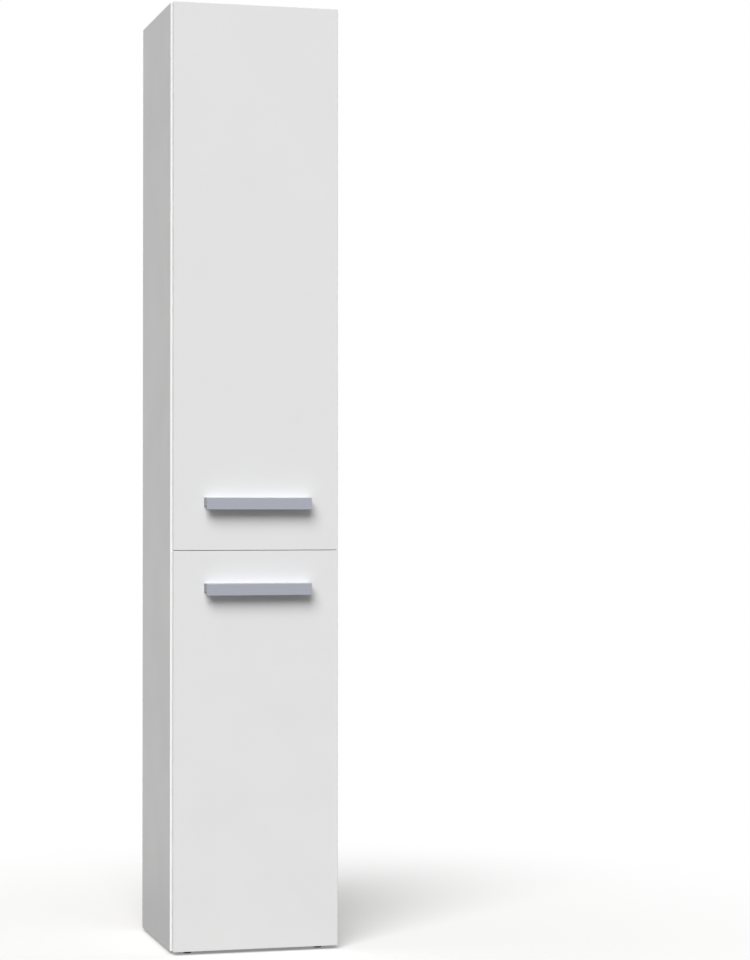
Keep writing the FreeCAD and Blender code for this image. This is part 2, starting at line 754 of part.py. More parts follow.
def brace_rod(name, x, radius):
    """A rod from a back corner of the rim up to the top of the flap."""
    solid = rod(name, "z", (x, "basket_back", "brace_low"), radius,
                "sqrt((brace_run) ^ 2 + (brace_climb) ^ 2)")
    solid.Placement.Rotation = FreeCAD.Rotation(FreeCAD.Vector(1, 0, 0), 45)
    solid.setExpression("Placement.Rotation.Angle", expression("atan(brace_run / brace_climb)"))
    return solid


# Clips: two hold the ends of the braces, two hold the lowest full ring of the front wall.
def clip(x, height, groove):
    """One clip on the back of the flap, and its screw."""
    low = f"{height} - clip_below"
    blank = box("clip_blank", (f"{x} - clip_width / 2", "leaf_back", low),
                ("clip_width", "clip_depth", "clip_below + clip_above"))
    screw_z = f"{height} - clip_screw_drop"
    hole = rod("clip_hole", "y", (x, "leaf_back - overrun", screw_z),
               "clip_screw_radius + fit_play", "clip_depth + 2 * overrun")
    start = (x, "leaf_back - clip_screw_bite", screw_z)
    shank = rod("clip_shank", "y", start, "clip_screw_radius", "clip_screw_bite + clip_depth")
    head = rod("clip_head", "y", (x, "leaf_back + clip_depth", screw_z), "clip_screw_head",
               "clip_head_thick")
    drillings["flap_panel"].append(
        rod("clip_pilot", "y", (x, "leaf_back - clip_screw_bite - fit_play", screw_z),
            "clip_screw_radius + fit_play", "clip_screw_bite + fit_play + overrun"))
    return cut("basket_clip", blank, [groove, hole]), fuse("clip_screw", [shank, head])


braces, clips, clip_screws = [], [], []
for hand, sign in SIDES:
    brace_x = f"{sign} * basket_half"
    braces.append(brace_rod("brace", brace_x, "brace_wire"))
    upper_groove = brace_rod("brace_groove", brace_x, "brace_wire + clip_play")
    lower_x = f"{sign} * clip_reach"
    lower_groove = rod("ring_groove", "x",
                       (f"{lower_x} - clip_width", "basket_front", LEVELS[RINGS - 1]),
                       "ring_wire + clip_play", "2 * clip_width")
    for x, height, groove in ((brace_x, "brace_high", upper_groove),
                              (lower_x, LEVELS[RINGS - 1], lower_groove)):
        made_clip, made_screw = clip(x, height, groove)
        clips.append(made_clip)
        clip_screws.append(made_screw)
node("basket_top_braces", braces)
node("basket_clips", clips)
node("basket_clip_screws", clip_screws)

# Wall bracket: an angle on the top panel that is screwed to the wall.
bracket_foot = box("bracket_foot", ("-bracket_width / 2", "back_plane - bracket_foot",
                                    "carcass_top"),
                   ("bracket_width", "bracket_foot", "bracket_thick"))
bracket_leg = box("bracket_leg", ("-bracket_width / 2", "back_plane - bracket_thick",
                                  "carcass_top"),
                  ("bracket_width", "bracket_thick", "bracket_rise"))
bracket_holes = [rod("wall_hole", "y", ("0", "back_plane - bracket_thick - overrun",
                                        "carcass_top + bracket_hole_rise"),
                     "bracket_hole_radius", "bracket_thick + 2 * overrun")]
bracket_screws = []
for sign in (-1, 1):
    screw_x = f"{sign} * bracket_screw_spacing / 2"
    screw_y = "back_plane - bracket_screw_back"
    bite_low = "carcass_top - bracket_screw_bite"
    seat = "carcass_top + bracket_thick"
    bracket_holes.append(rod("bracket_screw_hole", "z", (screw_x, screw_y, "carcass_top - overrun"),
                             "bracket_screw_radius + fit_play", "bracket_thick + 2 * overrun"))
    drillings["top_panel"].append(
        rod("bracket_pilot", "z", (screw_x, screw_y, f"{bite_low} - fit_play"),
            "bracket_screw_radius + fit_play", "bracket_screw_bite + fit_play + overrun"))
    shank = rod("bracket_shank", "z", (screw_x, screw_y, bite_low), "bracket_screw_radius",
                "bracket_screw_bite + bracket_thick")
    head = rod("bracket_head", "z", (screw_x, screw_y, seat), "bracket_screw_head",
               "bracket_head_thick")
    bracket_screws.append(fuse("bracket_screw", [shank, head]))
node("wall_bracket", cut("bracket_drilled", fuse("bracket_bent", [bracket_foot, bracket_leg]),
                         bracket_holes))
node("wall_bracket_screws", bracket_screws)

# Boards last, with every hole that the fittings asked for.
for hand, sign in SIDES:
    label = "side_panel_" + hand
    start_x = "-half_width" if sign < 0 else "inner_half"
    blank = box(label + "_blank", (start_x, "front_plane", "foot_height"),
                ("board", "side_depth", "carcass_height"))
    rounded = soften(blank, "edge_radius", ALL_BOX_EDGES)
    node(label, cut(label + "_drilled", rounded, drillings[label]))
for label, (low, face) in BOARDS.items():
    blank = box(label + "_blank", ("-inner_half", "front_plane", low),
                ("2 * inner_half", "side_depth", "board"))
    rounded = soften(blank, "edge_radius", FRONT_BOX_EDGES)
    node(label, cut(label + "_drilled", rounded, drillings[label]))
for label, low, high in (("door_panel", "door_bottom", "door_top"),
                         ("flap_panel", "flap_bottom", "flap_top")):
    blank = box(label + "_blank", ("-leaf_half", "leaf_front", low),
                ("2 * leaf_half", "board", f"{high} - ({low})"))
    rounded = soften(blank, "edge_radius", ALL_BOX_EDGES)
    node(label, cut(label + "_drilled", rounded, drillings[label]))

doc.recompute()
for piece in doc.Objects:
    if "Invalid" in piece.State or "Error" in piece.State:
        raise RuntimeError(f"{piece.Label} failed: {piece.State}")
for piece in nodes:
    if piece.Shape.isNull() or not piece.Shape.isValid():
        raise RuntimeError(f"{piece.Label} has no valid shape")

os.makedirs("parts", exist_ok=True)
for piece in nodes:
    piece.Shape.exportStep(f"parts/{piece.Label}.step")
    print(f"{piece.Label}: {len(piece.Shape.Solids)} solids, {piece.Shape.Volume:.0f} mm3")
print(f"{len(nodes)} pieces written")
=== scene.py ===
# %% [markdown]
# # A tall white bathroom cabinet
# This notebook dresses a finished CAD model. The model arrives as a fixed frame: every board,
# hinge and screw already sits at its true place, in metres, with the floor at Z = 0 and the
# front of the cabinet facing -Y. Our work is the part that CAD leaves out: finishes, light,
# bent wire, rounded edges and the small fittings that make a thing look bought, not drawn.

import math

import bmesh
import bpy
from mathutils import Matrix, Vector


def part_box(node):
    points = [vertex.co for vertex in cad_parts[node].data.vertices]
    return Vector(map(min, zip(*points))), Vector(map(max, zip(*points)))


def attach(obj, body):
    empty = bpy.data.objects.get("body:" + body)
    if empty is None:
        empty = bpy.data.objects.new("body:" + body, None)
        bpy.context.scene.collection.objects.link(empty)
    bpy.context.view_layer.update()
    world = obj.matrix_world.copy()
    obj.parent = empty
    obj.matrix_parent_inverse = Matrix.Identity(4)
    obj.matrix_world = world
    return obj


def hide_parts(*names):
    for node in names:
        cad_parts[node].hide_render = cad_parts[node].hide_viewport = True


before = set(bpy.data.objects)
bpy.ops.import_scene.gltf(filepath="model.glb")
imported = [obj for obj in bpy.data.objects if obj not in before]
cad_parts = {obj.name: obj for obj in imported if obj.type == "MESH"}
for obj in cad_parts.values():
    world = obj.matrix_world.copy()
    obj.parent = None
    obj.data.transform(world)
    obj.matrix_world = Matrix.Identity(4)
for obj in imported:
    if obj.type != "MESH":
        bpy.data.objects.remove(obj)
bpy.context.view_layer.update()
MM = 0.001

# %% [markdown]
# ## Camera
# The catalogue picture was taken from the left, a little below half the cabinet's height, with
# a long lens: upright lines stay upright and the side shows as a narrow strip. A lens of about
# 100 mm from almost five metres gives the same flat look. The lens is not shifted: the cabinet
# stands left of the middle simply because the camera points past it.

# %% Camera
CAMERA_PLACE = (-1.01774, -4.75343, 0.78949)
CAMERA_TURN = 15.002     # degrees to the right of straight ahead
CAMERA_TILT = 0.645      # degrees above level
CAMERA_LENS = 99.115     # mm, on a 36 mm long side

camera_data = bpy.data.cameras.new("camera")
camera_data.lens = CAMERA_LENS
camera = bpy.data.objects.new("camera", camera_data)
camera.location = CAMERA_PLACE
camera.rotation_euler = (math.radians(90 + CAMERA_TILT), 0, math.radians(-CAMERA_TURN))
bpy.context.scene.collection.objects.link(camera)
bpy.context.scene.camera = camera
bpy.context.scene.view_settings.view_transform = "Standard"
print("camera:", CAMERA_LENS, "mm lens at", CAMERA_PLACE)

# %% [markdown]
# ## Colours and nodes
# Two helpers serve every finish below. Colours are written as the sRGB hex values a paint chart
# would give, and Blender mixes light in linear numbers, so one function converts them. The
# other adds a node: its options, its plain values and its links in a single call. A whole node
# given as an input stands for its first output that is in use, which keeps long chains short.

# %% Colour and node helpers


def srgb(code):
    """Linear RGBA from an sRGB hex code such as E4E4E3, by the standard's own formula."""
    parts = [int(code[i:i + 2], 16) / 255 for i in (0, 2, 4)]
    return [p / 12.92 if p <= 0.04045 else ((p + 0.055) / 1.055) ** 2.4 for p in parts] + [1.0]


def add(tree, kind, inputs=None, **options):
    """Add a node. A node or socket given as an input is linked, anything else is its value."""
    node = tree.nodes.new(kind)
    for name, value in options.items():
        setattr(node, name, value)
    for name, value in (inputs or {}).items():
        if isinstance(value, bpy.types.Node):
            value = next(socket for socket in value.outputs if socket.enabled)
        if isinstance(value, bpy.types.NodeSocket):
            tree.links.new(value, node.inputs[name])
        else:
            node.inputs[name].default_value = value
    return node


print("E4E4E3 in linear light:", [round(v, 3) for v in srgb("E4E4E3")])

# %% [markdown]
# ## Studio
# The picture has a white ground with no horizon. A white backdrop that also lights the cabinet
# would wash out its shadows. So the world asks what a ray is for. Rays from the camera see pure
# white, also through clear plastic. The light that bounces between surfaces meets a much darker
# world, and the shadows under the handles stay deep. Shiny surfaces mirror the same ground, but
# dimmed to a grey: the room beside a camera is darker than the white sheet behind the object.

# %% World
WORLD_FILL = 0.28        # what the surroundings give as soft light
WORLD_MIRRORED = 0.62    # what shiny surfaces show of them
WHITE = srgb("FFFFFF")


def seen_directly(tree):
    """1 for rays from the camera and through clear plastic."""
    rays = add(tree, "ShaderNodeLightPath").outputs
    return add(tree, "ShaderNodeMath",
               {0: rays["Is Camera Ray"], 1: rays["Is Transmission Ray"]}, operation="MAXIMUM")


world = bpy.data.worlds.new("white_studio")
bpy.context.scene.world = world
world.use_nodes = True
tree = world.node_tree
tree.nodes.clear()
glossy = add(tree, "ShaderNodeLightPath").outputs["Is Glossy Ray"]
mirrored = add(tree, "ShaderNodeMapRange",
               {"Value": glossy, "To Min": WORLD_FILL, "To Max": WORLD_MIRRORED})
level = add(tree, "ShaderNodeMath", {0: mirrored, 1: seen_directly(tree)}, operation="MAXIMUM")
sky = add(tree, "ShaderNodeBackground", {"Color": WHITE, "Strength": level})
add(tree, "ShaderNodeOutputWorld", {"Surface": sky})
print("world:", WORLD_FILL, "as light and", WORLD_MIRRORED, "in reflections")

# %% [markdown]
# The floor is pale and keeps the cabinet's shadow near its feet. Further out it fades into the
# white of the world. To all other rays it is a dim grey floor. Only in reflections does it turn,
# far out, into the grey that the world shows there.

# %% Floor finish
FLOOR_BOUNCE = srgb("8E8E8D")  # what the floor sends back up
FLOOR_SHOWN = srgb("E4E4E3")
FLOOR_GLOW = 0.25              # lifts the floor to white where nothing shades it
FLOOR_FADE = (0.35, 1.5)       # metres from the cabinet's middle

floor_look = bpy.data.materials.new("pale_studio_floor")
floor_look.use_nodes = True
tree = floor_look.node_tree
tree.nodes.clear()
place = add(tree, "ShaderNodeTexCoord").outputs["Object"]
distance = add(tree, "ShaderNodeVectorMath", {0: place}, operation="LENGTH")
faded = add(tree, "ShaderNodeMapRange",
            {"Value": distance, "From Min": FLOOR_FADE[0], "From Max": FLOOR_FADE[1]},
            interpolation_type="SMOOTHSTEP")
pale = add(tree, "ShaderNodeBsdfDiffuse", {"Color": FLOOR_SHOWN})
glow = add(tree, "ShaderNodeEmission", {"Color": WHITE, "Strength": FLOOR_GLOW})
near = add(tree, "ShaderNodeAddShader", {0: pale, 1: glow})
white = add(tree, "ShaderNodeEmission", {"Color": WHITE, "Strength": 1.0})
shown = add(tree, "ShaderNodeMixShader", {0: faded, 1: near, 2: white})
bounce = add(tree, "ShaderNodeBsdfDiffuse", {"Color": FLOOR_BOUNCE})
grey = add(tree, "ShaderNodeEmission", {"Color": WHITE, "Strength": WORLD_MIRRORED})
glossy = add(tree, "ShaderNodeLightPath").outputs["Is Glossy Ray"]
far_mirrored = add(tree, "ShaderNodeMath", {0: glossy, 1: faded}, operation="MULTIPLY")
unseen = add(tree, "ShaderNodeMixShader", {0: far_mirrored, 1: bounce, 2: grey})
ground = add(tree, "ShaderNodeMixShader", {0: seen_directly(tree), 1: unseen, 2: shown})
add(tree, "ShaderNodeOutputMaterial", {"Surface": ground})
print("floor fades to white between", FLOOR_FADE, "m")

# %% [markdown]
# One large square is enough for the floor. It belongs to the stage, not to the cabinet.

# %% Floor
FLOOR_HALF = 40.0   # metres

floor_mesh = bpy.data.meshes.new("studio_floor")
floor_mesh.from_pydata([(x * FLOOR_HALF, y * FLOOR_HALF, 0)
                        for x, y in ((-1, -1), (1, -1), (1, 1), (-1, 1))], [], [(0, 1, 2, 3)])
floor_mesh.materials.append(floor_look)
floor = bpy.data.objects.new("studio_floor", floor_mesh)
bpy.context.scene.collection.objects.link(floor)
print("floor", 2 * FLOOR_HALF, "m wide")

# %% [markdown]
# ### Light
# The shadows under the handles fall down and to the right, and they start to fade at once. So
# the main light stands high on the left and is very broad. A sun lamp with a wide angle does
# that and lights the tall doors evenly from top to bottom, as a big diffuser far away would.

# %% Lamp
KEY_FROM = (-0.345, -0.73, 0.62)  # towards the light, seen from the cabinet
KEY_STRENGTH = 3.13               # with the soft fill, a front colour shows as it is written
KEY_ANGLE = 40.0                  # degrees across

lamp = bpy.data.lights.new("key_diffuser", "SUN")
lamp.energy = KEY_STRENGTH
lamp.angle = math.radians(KEY_ANGLE)
holder = bpy.data.objects.new("key_diffuser", lamp)
holder.rotation_euler = (-Vector(KEY_FROM)).to_track_quat("-Z", "Y").to_euler()
bpy.context.scene.collection.objects.link(holder)
print("key light", KEY_STRENGTH, "W per square metre")

# %% [markdown]
# ## Finishes
# Every finish starts from the real material. A pattern's size is given in millimetres and
# turned into a texture scale by `per_mm`, which keeps the sizes honest. All patterns are read
# from Object coordinates: each piece keeps its place in its mesh, so they are cabinet metres.
# Noise rarely leaves the range from 0.3 to 0.7, so each finish spreads that range from 0 to 1.

# %% Start of a finish
NOISE_LOW, NOISE_HIGH = 0.3, 0.7
PLAIN, CLOUDY, FIBROUS = 1.0, 3.0, 9.0  # how many finer layers a noise adds to its first one
SHARE, TONE, OTHER = 0, 6, 7            # sockets of a Mix node that mixes two colours
finishes = {}


def per_mm(size):
    """Texture scale for a pattern that repeats about every so many millimetres."""
    return 1 / (size * MM)


def start_finish(name):
    """A new material: returns it with its empty tree and the place on the piece."""
    look = bpy.data.materials.new(name)
    look.use_nodes = True
    look.node_tree.nodes.clear()
    place = add(look.node_tree, "ShaderNodeTexCoord").outputs["Object"]
    return look, look.node_tree, place


print("a grain of 1 mm is texture scale", round(per_mm(1), 1))

# %% [markdown]
# ### White melamine board
# The boards are particleboard between two sheets of resin-soaked paper, pressed against a
# pearl-textured plate. That leaves an even, slightly grey white with a fine orange-peel, which
# blurs reflections. The cut edges carry a glued band of white ABS, which is smoother; its
# brighter white is a painted highlight on the edges. A thin joint line shows where band and face
# meet. Which of the three a spot belongs to is read from where the surface looks: the joint lies
# on the rounded edge between face and band.

# %% Zones of a board
FACE_FROM, FACE_TO = 0.55, 0.75      # how squarely a face has to look along the board's axis
JOINT_AT, JOINT_NEAR, JOINT_FAR, JOINT_SHOWN = 0.8, 0.04, 0.10, 0.7


def board_zones(tree, face_axis):
    """Two factors for a board whose broad faces look along one axis: face, and joint line."""
    normal = add(tree, "ShaderNodeNewGeometry").outputs["Normal"]
    axes = add(tree, "ShaderNodeSeparateXYZ", {0: normal}).outputs
    square = add(tree, "ShaderNodeMath", {0: axes[face_axis]}, operation="ABSOLUTE")
    face = add(tree, "ShaderNodeMapRange",
               {"Value": square, "From Min": FACE_FROM, "From Max": FACE_TO})
    turn = add(tree, "ShaderNodeMath", {0: square, 1: JOINT_AT}, operation="SUBTRACT")
    away = add(tree, "ShaderNodeMath", {0: turn}, operation="ABSOLUTE")
    joint = add(tree, "ShaderNodeMapRange",
                {"Value": away, "From Min": JOINT_NEAR, "From Max": JOINT_FAR,
                 "To Min": JOINT_SHOWN, "To Max": 0.0})
    return face, joint


print("a joint line shows", JOINT_SHOWN, "of its grey")

# %% [markdown]
# Sides, fronts and shelves stand in three directions, so the finish is made three times. The
# sheen changes slowly over a board, as a wiped surface does.

# %% White melamine board
FACE_WHITE, FACE_SHADE = srgb("E5E5E5"), srgb("E2E2E2")
# the band's white sits above the faces' white: a painted highlight on the edges
BAND_WHITE_AND_HIGHLIGHT, JOINT_GREY = srgb("F4F4F4"), srgb("C9C9C7")
RESIN_IOR, BAND_ROUGH, FACE_ROUGH = 1.5, 0.24, (0.38, 0.50)
PEARL, PEARL_DEEP = 1.6, 0.03  # mm; the real pearl is about 0.4 mm, too fine to show from here
PEARL_SHOWN = 0.35
SMUDGE = 130.0                 # mm


def melamine(name, face_axis):
    """Melamine for boards whose broad faces look along one axis."""
    look, tree, place = start_finish(name)
    face, joint = board_zones(tree, face_axis)
    slow = add(tree, "ShaderNodeTexNoise",
               {"Vector": place, "Scale": per_mm(SMUDGE), "Detail": CLOUDY})
    smudge = add(tree, "ShaderNodeMapRange",
                 {"Value": slow, "From Min": NOISE_LOW, "From Max": NOISE_HIGH})
    paper = add(tree, "ShaderNodeMix", {SHARE: smudge, TONE: FACE_WHITE, OTHER: FACE_SHADE},
                data_type="RGBA")
    # painted highlight: spots on the edges take the brighter band white
    whites = add(tree, "ShaderNodeMix", {SHARE: face, TONE: BAND_WHITE_AND_HIGHLIGHT, OTHER: paper},
                 data_type="RGBA")
    colour = add(tree, "ShaderNodeMix", {SHARE: joint, TONE: whites, OTHER: JOINT_GREY},
                 data_type="RGBA")
    sheen = add(tree, "ShaderNodeMapRange",
                {"Value": smudge, "To Min": FACE_ROUGH[0], "To Max": FACE_ROUGH[1]})
    rough = add(tree, "ShaderNodeMapRange", {"Value": face, "To Min": BAND_ROUGH, "To Max": sheen})
    pearl = add(tree, "ShaderNodeTexNoise",
                {"Vector": place, "Scale": per_mm(PEARL), "Detail": PLAIN})
    bump = add(tree, "ShaderNodeBump",
               {"Height": pearl, "Strength": PEARL_SHOWN, "Distance": PEARL_DEEP * MM})
    shader = add(tree, "ShaderNodeBsdfPrincipled",
                 {"Base Color": colour, "Roughness": rough, "IOR": RESIN_IOR, "Normal": bump})
    add(tree, "ShaderNodeOutputMaterial", {"Surface": shader})
    return look


for axis, kind in enumerate(("upright", "front", "flat")):
    finishes["melamine_" + kind] = melamine("white_melamine_" + kind, axis)
print("melamine made for", list(finishes))

# %% [markdown]
# ### Hardboard back
# The back is 3 mm wet-process hardboard: wood fibre pressed on a wire screen. The inside is
# lacquered, a shade whiter than the boards. Outside it stays brown, dull and fibrous, with the
# screen's print in it. Depth tells the two apart: the lacquer ends after a tenth of a millimetre.

# %% Hardboard: lacquer and fibre
BACK_LACQUER, FIBRE_DARK, FIBRE_LIGHT = srgb("EFEFED"), srgb("8F6E4B"), srgb("AE8D66")
LACQUER_ROUGH, FIBRE_ROUGH = 0.42, 0.85
FIBRE, FIBRE_DRAW = 6.0, (1, 1, 0.6)  # mm; real tufts are nearer 2 mm, drawn coarse to show
LACQUER_ENDS, FIBRE_STARTS = 0.1 * MM, 0.2 * MM
back_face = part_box("back_panel")[0].y

look, tree, place = start_finish("white_lacquered_hardboard")
depth = add(tree, "ShaderNodeSeparateXYZ", {0: place}).outputs["Y"]
raw = add(tree, "ShaderNodeMapRange", {"Value": depth, "From Min": back_face + LACQUER_ENDS,
                                       "From Max": back_face + FIBRE_STARTS})
drawn = add(tree, "ShaderNodeMapping", {"Vector": place, "Scale": FIBRE_DRAW})
tufts = add(tree, "ShaderNodeTexNoise",
            {"Vector": drawn, "Scale": per_mm(FIBRE), "Detail": FIBROUS})
fibre = add(tree, "ShaderNodeMapRange",
            {"Value": tufts, "From Min": NOISE_LOW, "From Max": NOISE_HIGH})
brown = add(tree, "ShaderNodeMix", {SHARE: fibre, TONE: FIBRE_DARK, OTHER: FIBRE_LIGHT},
            data_type="RGBA")
colour = add(tree, "ShaderNodeMix", {SHARE: raw, TONE: BACK_LACQUER, OTHER: brown},
             data_type="RGBA")
rough = add(tree, "ShaderNodeMapRange",
            {"Value": raw, "To Min": LACQUER_ROUGH, "To Max": FIBRE_ROUGH})
print("hardboard is brown behind y =", round(back_face, 5))

# %% [markdown]
# The screen's print is two crossed waves. A wave texture of scale 1 runs through 20 radians in
# a metre, so a pitch in millimetres needs that factor as well.

# %% Hardboard: print of the screen
SCREEN_PITCH, SCREEN_DEEP, SCREEN_SHOWN = 8.0, 0.4, 1.0  # mm; a real screen is nearer 2 mm
SCREEN_WOBBLE = 0.6                                      # no pressed print is quite straight
WAVE_TURN = math.tau / 20

print_x, print_z = (
    add(tree, "ShaderNodeTexWave",
        {"Vector": place, "Scale": per_mm(SCREEN_PITCH) * WAVE_TURN, "Distortion": SCREEN_WOBBLE,
         "Detail": PLAIN}, bands_direction=direction).outputs["Fac"] for direction in "XZ")
screen = add(tree, "ShaderNodeMath", {0: print_x, 1: print_z}, operation="MULTIPLY")
dents = add(tree, "ShaderNodeMath", {0: screen, 1: raw}, operation="MULTIPLY")
bump = add(tree, "ShaderNodeBump",
           {"Height": dents, "Strength": SCREEN_SHOWN, "Distance": SCREEN_DEEP * MM})
shader = add(tree, "ShaderNodeBsdfPrincipled",
             {"Base Color": colour, "Roughness": rough, "Normal": bump})
add(tree, "ShaderNodeOutputMaterial", {"Surface": shader})
finishes["hardboard"] = look
print("screen print every", SCREEN_PITCH, "mm")

# %% [markdown]
# ### Satin anodised aluminium
# The handles are extruded, brushed lengthwise and anodised. The oxide layer keeps the metal a
# cool light grey, and the brushing draws the reflection out across the bar. Real brush lines
# are hundredths of a millimetre wide; here they are about half a millimetre, so that they show.
# The ends are sawn and not brushed, so they are duller; their darker grey is painted shade.

# %% Satin anodised aluminium
# the third colour is painted shade for the end faces
ALUMINIUM, ALUMINIUM_LINE, SAWN_END_SHADE = srgb("CCD0DB"), srgb("C0C3CE"), srgb("A2A3A7")
BRUSHED_ROUGH, SAWN_ROUGH, BRUSHED_AROUND = (0.30, 0.42), 0.6, 0.4
BRUSH_LINE, BRUSH_DEEP, BRUSH_SHOWN = 0.6, 0.01, 0.3   # mm across, mm deep
BRUSH_DRAW = (0.012, 1, 1)    # the pattern changes much slower along the bar
END_FROM, END_TO = 0.75, 0.9  # how squarely an end has to look along the bar

look, tree, place = start_finish("satin_anodised_aluminium")
drawn = add(tree, "ShaderNodeMapping", {"Vector": place, "Scale": BRUSH_DRAW})
strokes = add(tree, "ShaderNodeTexNoise",
              {"Vector": drawn, "Scale": per_mm(BRUSH_LINE), "Detail": CLOUDY})
lines = add(tree, "ShaderNodeMapRange",
            {"Value": strokes, "From Min": NOISE_LOW, "From Max": NOISE_HIGH})
brushed = add(tree, "ShaderNodeMix", {SHARE: lines, TONE: ALUMINIUM, OTHER: ALUMINIUM_LINE},
              data_type="RGBA")
normal = add(tree, "ShaderNodeNewGeometry").outputs["Normal"]
lengthwise = add(tree, "ShaderNodeSeparateXYZ", {0: normal}).outputs["X"]
along = add(tree, "ShaderNodeMath", {0: lengthwise}, operation="ABSOLUTE")
sawn_and_shaded_end = add(tree, "ShaderNodeMapRange",
           {"Value": along, "From Min": END_FROM, "From Max": END_TO})
# painted shade: the end faces take a darker grey than the brushed faces
colour = add(tree, "ShaderNodeMix", {SHARE: sawn_and_shaded_end, TONE: brushed, OTHER: SAWN_END_SHADE}, data_type="RGBA")
satin = add(tree, "ShaderNodeMapRange",
            {"Value": lines, "To Min": BRUSHED_ROUGH[0], "To Max": BRUSHED_ROUGH[1]})
rough = add(tree, "ShaderNodeMapRange", {"Value": sawn_and_shaded_end, "To Min": satin, "To Max": SAWN_ROUGH})
bump = add(tree, "ShaderNodeBump",
           {"Height": strokes, "Strength": BRUSH_SHOWN, "Distance": BRUSH_DEEP * MM})
shader = add(tree, "ShaderNodeBsdfPrincipled",
             {"Base Color": colour, "Metallic": 1.0, "Roughness": rough,
              "Anisotropic": BRUSHED_AROUND, "Normal": bump})
add(tree, "ShaderNodeOutputMaterial", {"Surface": shader})
finishes["aluminium"] = look
print("aluminium brushed at", BRUSH_LINE, "mm")

# %% [markdown]
# ### Coated wire, steel and plastics
# The basket is steel wire dipped in white polyethylene. The hinges are nickel plated, and
# screws, nails and bracket zinc plated. The small plastics are moulded, so they have the faint
# grain of the mould. The dowels are turned beech, with grain along X, as they lie. These
# finishes are built alike and differ only in numbers, so a table and a loop make them all. Mould
# grain and wood streaks are finer in life: the table draws them coarse, so that they show.

# %% Small finishes
SMALL_FINISHES = {  # name, two tones, roughness from and to, grain and depth in mm, IOR
    # soft and glossy, a little wavy where the coating ran
    "coated_wire": ("white_dipped_wire", "F6F6F4", "EEEEEC", 0.26, 0.34, 7.0, 0.02, 1.51),
    # warm and bright, with soft reflections
    "nickel": ("nickel_plated_steel", "E3DFD7", "DBD7CF", 0.24, 0.32, 5.0, 0.002, None),
    # cooler and cloudy, with small dull patches
    "zinc": ("zinc_plated_steel", "DFE3E7", "C6CACE", 0.30, 0.44, 3.5, 0.003, None),
    # a clean white with a soft sheen
    "polypropylene": ("white_moulded_polypropylene", "F2F2EF", "ECECE9", 0.42, 0.52, 1.0, 0.02,
                      1.49),
    # dark, dull and a little waxy
    "polyethylene": ("grey_moulded_polyethylene", "37383A", "2C2D2F", 0.50, 0.62, 1.0, 0.03,
                     1.51),
    # pale and dry, with fine darker streaks
    "beech": ("turned_beech", "D8B48C", "C79E74", 0.50, 0.60, 1.6, 0.02, 1.5),
}
GRAIN_SHOWN = 0.4
ALONG_X, EVEN = (0.08, 1, 1), (1, 1, 1)

for key, (name, tone, other, smooth, dull, grain, deep, ior) in SMALL_FINISHES.items():
    look, tree, place = start_finish(name)
    drawn = add(tree, "ShaderNodeMapping",
                {"Vector": place, "Scale": ALONG_X if key == "beech" else EVEN})
    cloud = add(tree, "ShaderNodeTexNoise",
                {"Vector": drawn, "Scale": per_mm(grain), "Detail": CLOUDY})
    spread = add(tree, "ShaderNodeMapRange",
                 {"Value": cloud, "From Min": NOISE_LOW, "From Max": NOISE_HIGH})
    colour = add(tree, "ShaderNodeMix", {SHARE: spread, TONE: srgb(tone), OTHER: srgb(other)},
                 data_type="RGBA")
    rough = add(tree, "ShaderNodeMapRange", {"Value": spread, "To Min": smooth, "To Max": dull})
    bump = add(tree, "ShaderNodeBump",
               {"Height": cloud, "Strength": GRAIN_SHOWN, "Distance": deep * MM})
    kind = {"IOR": ior} if ior else {"Metallic": 1.0}  # a metal keeps the default IOR
    shader = add(tree, "ShaderNodeBsdfPrincipled",
                 {"Base Color": colour, "Roughness": rough, "Normal": bump} | kind)
    add(tree, "ShaderNodeOutputMaterial", {"Surface": shader})
    finishes[key] = look
print("small finishes:", list(SMALL_FINISHES))

# %% [markdown]
# The bumpers are drops of clear soft vinyl. Light goes through them, so they get transmission
# with vinyl's refraction, and a slight cloud in the roughness, as a poured drop has.

# %% Clear soft vinyl
VINYL, VINYL_CLEAR, VINYL_IOR, VINYL_ROUGH = srgb("F1F4F2"), 0.85, 1.53, (0.08, 0.2)
VINYL_CLOUD = 2.0   # mm

look, tree, place = start_finish("clear_poured_vinyl")
cloud = add(tree, "ShaderNodeTexNoise", {"Vector": place, "Scale": per_mm(VINYL_CLOUD)})
rough = add(tree, "ShaderNodeMapRange",
            {"Value": cloud, "From Min": NOISE_LOW, "From Max": NOISE_HIGH,
             "To Min": VINYL_ROUGH[0], "To Max": VINYL_ROUGH[1]})
shader = add(tree, "ShaderNodeBsdfPrincipled",
             {"Base Color": VINYL, "Transmission Weight": VINYL_CLEAR, "IOR": VINYL_IOR,
              "Roughness": rough})
add(tree, "ShaderNodeOutputMaterial", {"Surface": shader})
finishes["vinyl"] = look
print("finishes:", len(finishes))

# %% [markdown]
# ## Dressing the CAD pieces
# Most boards need no new shape: the model already has their rounded edges and every hole. They
# only change material. Sides look along X, the door and the flap along Y, shelves along Z. The
# pieces that are remade further down are dressed as well, so no piece is ever left bare.

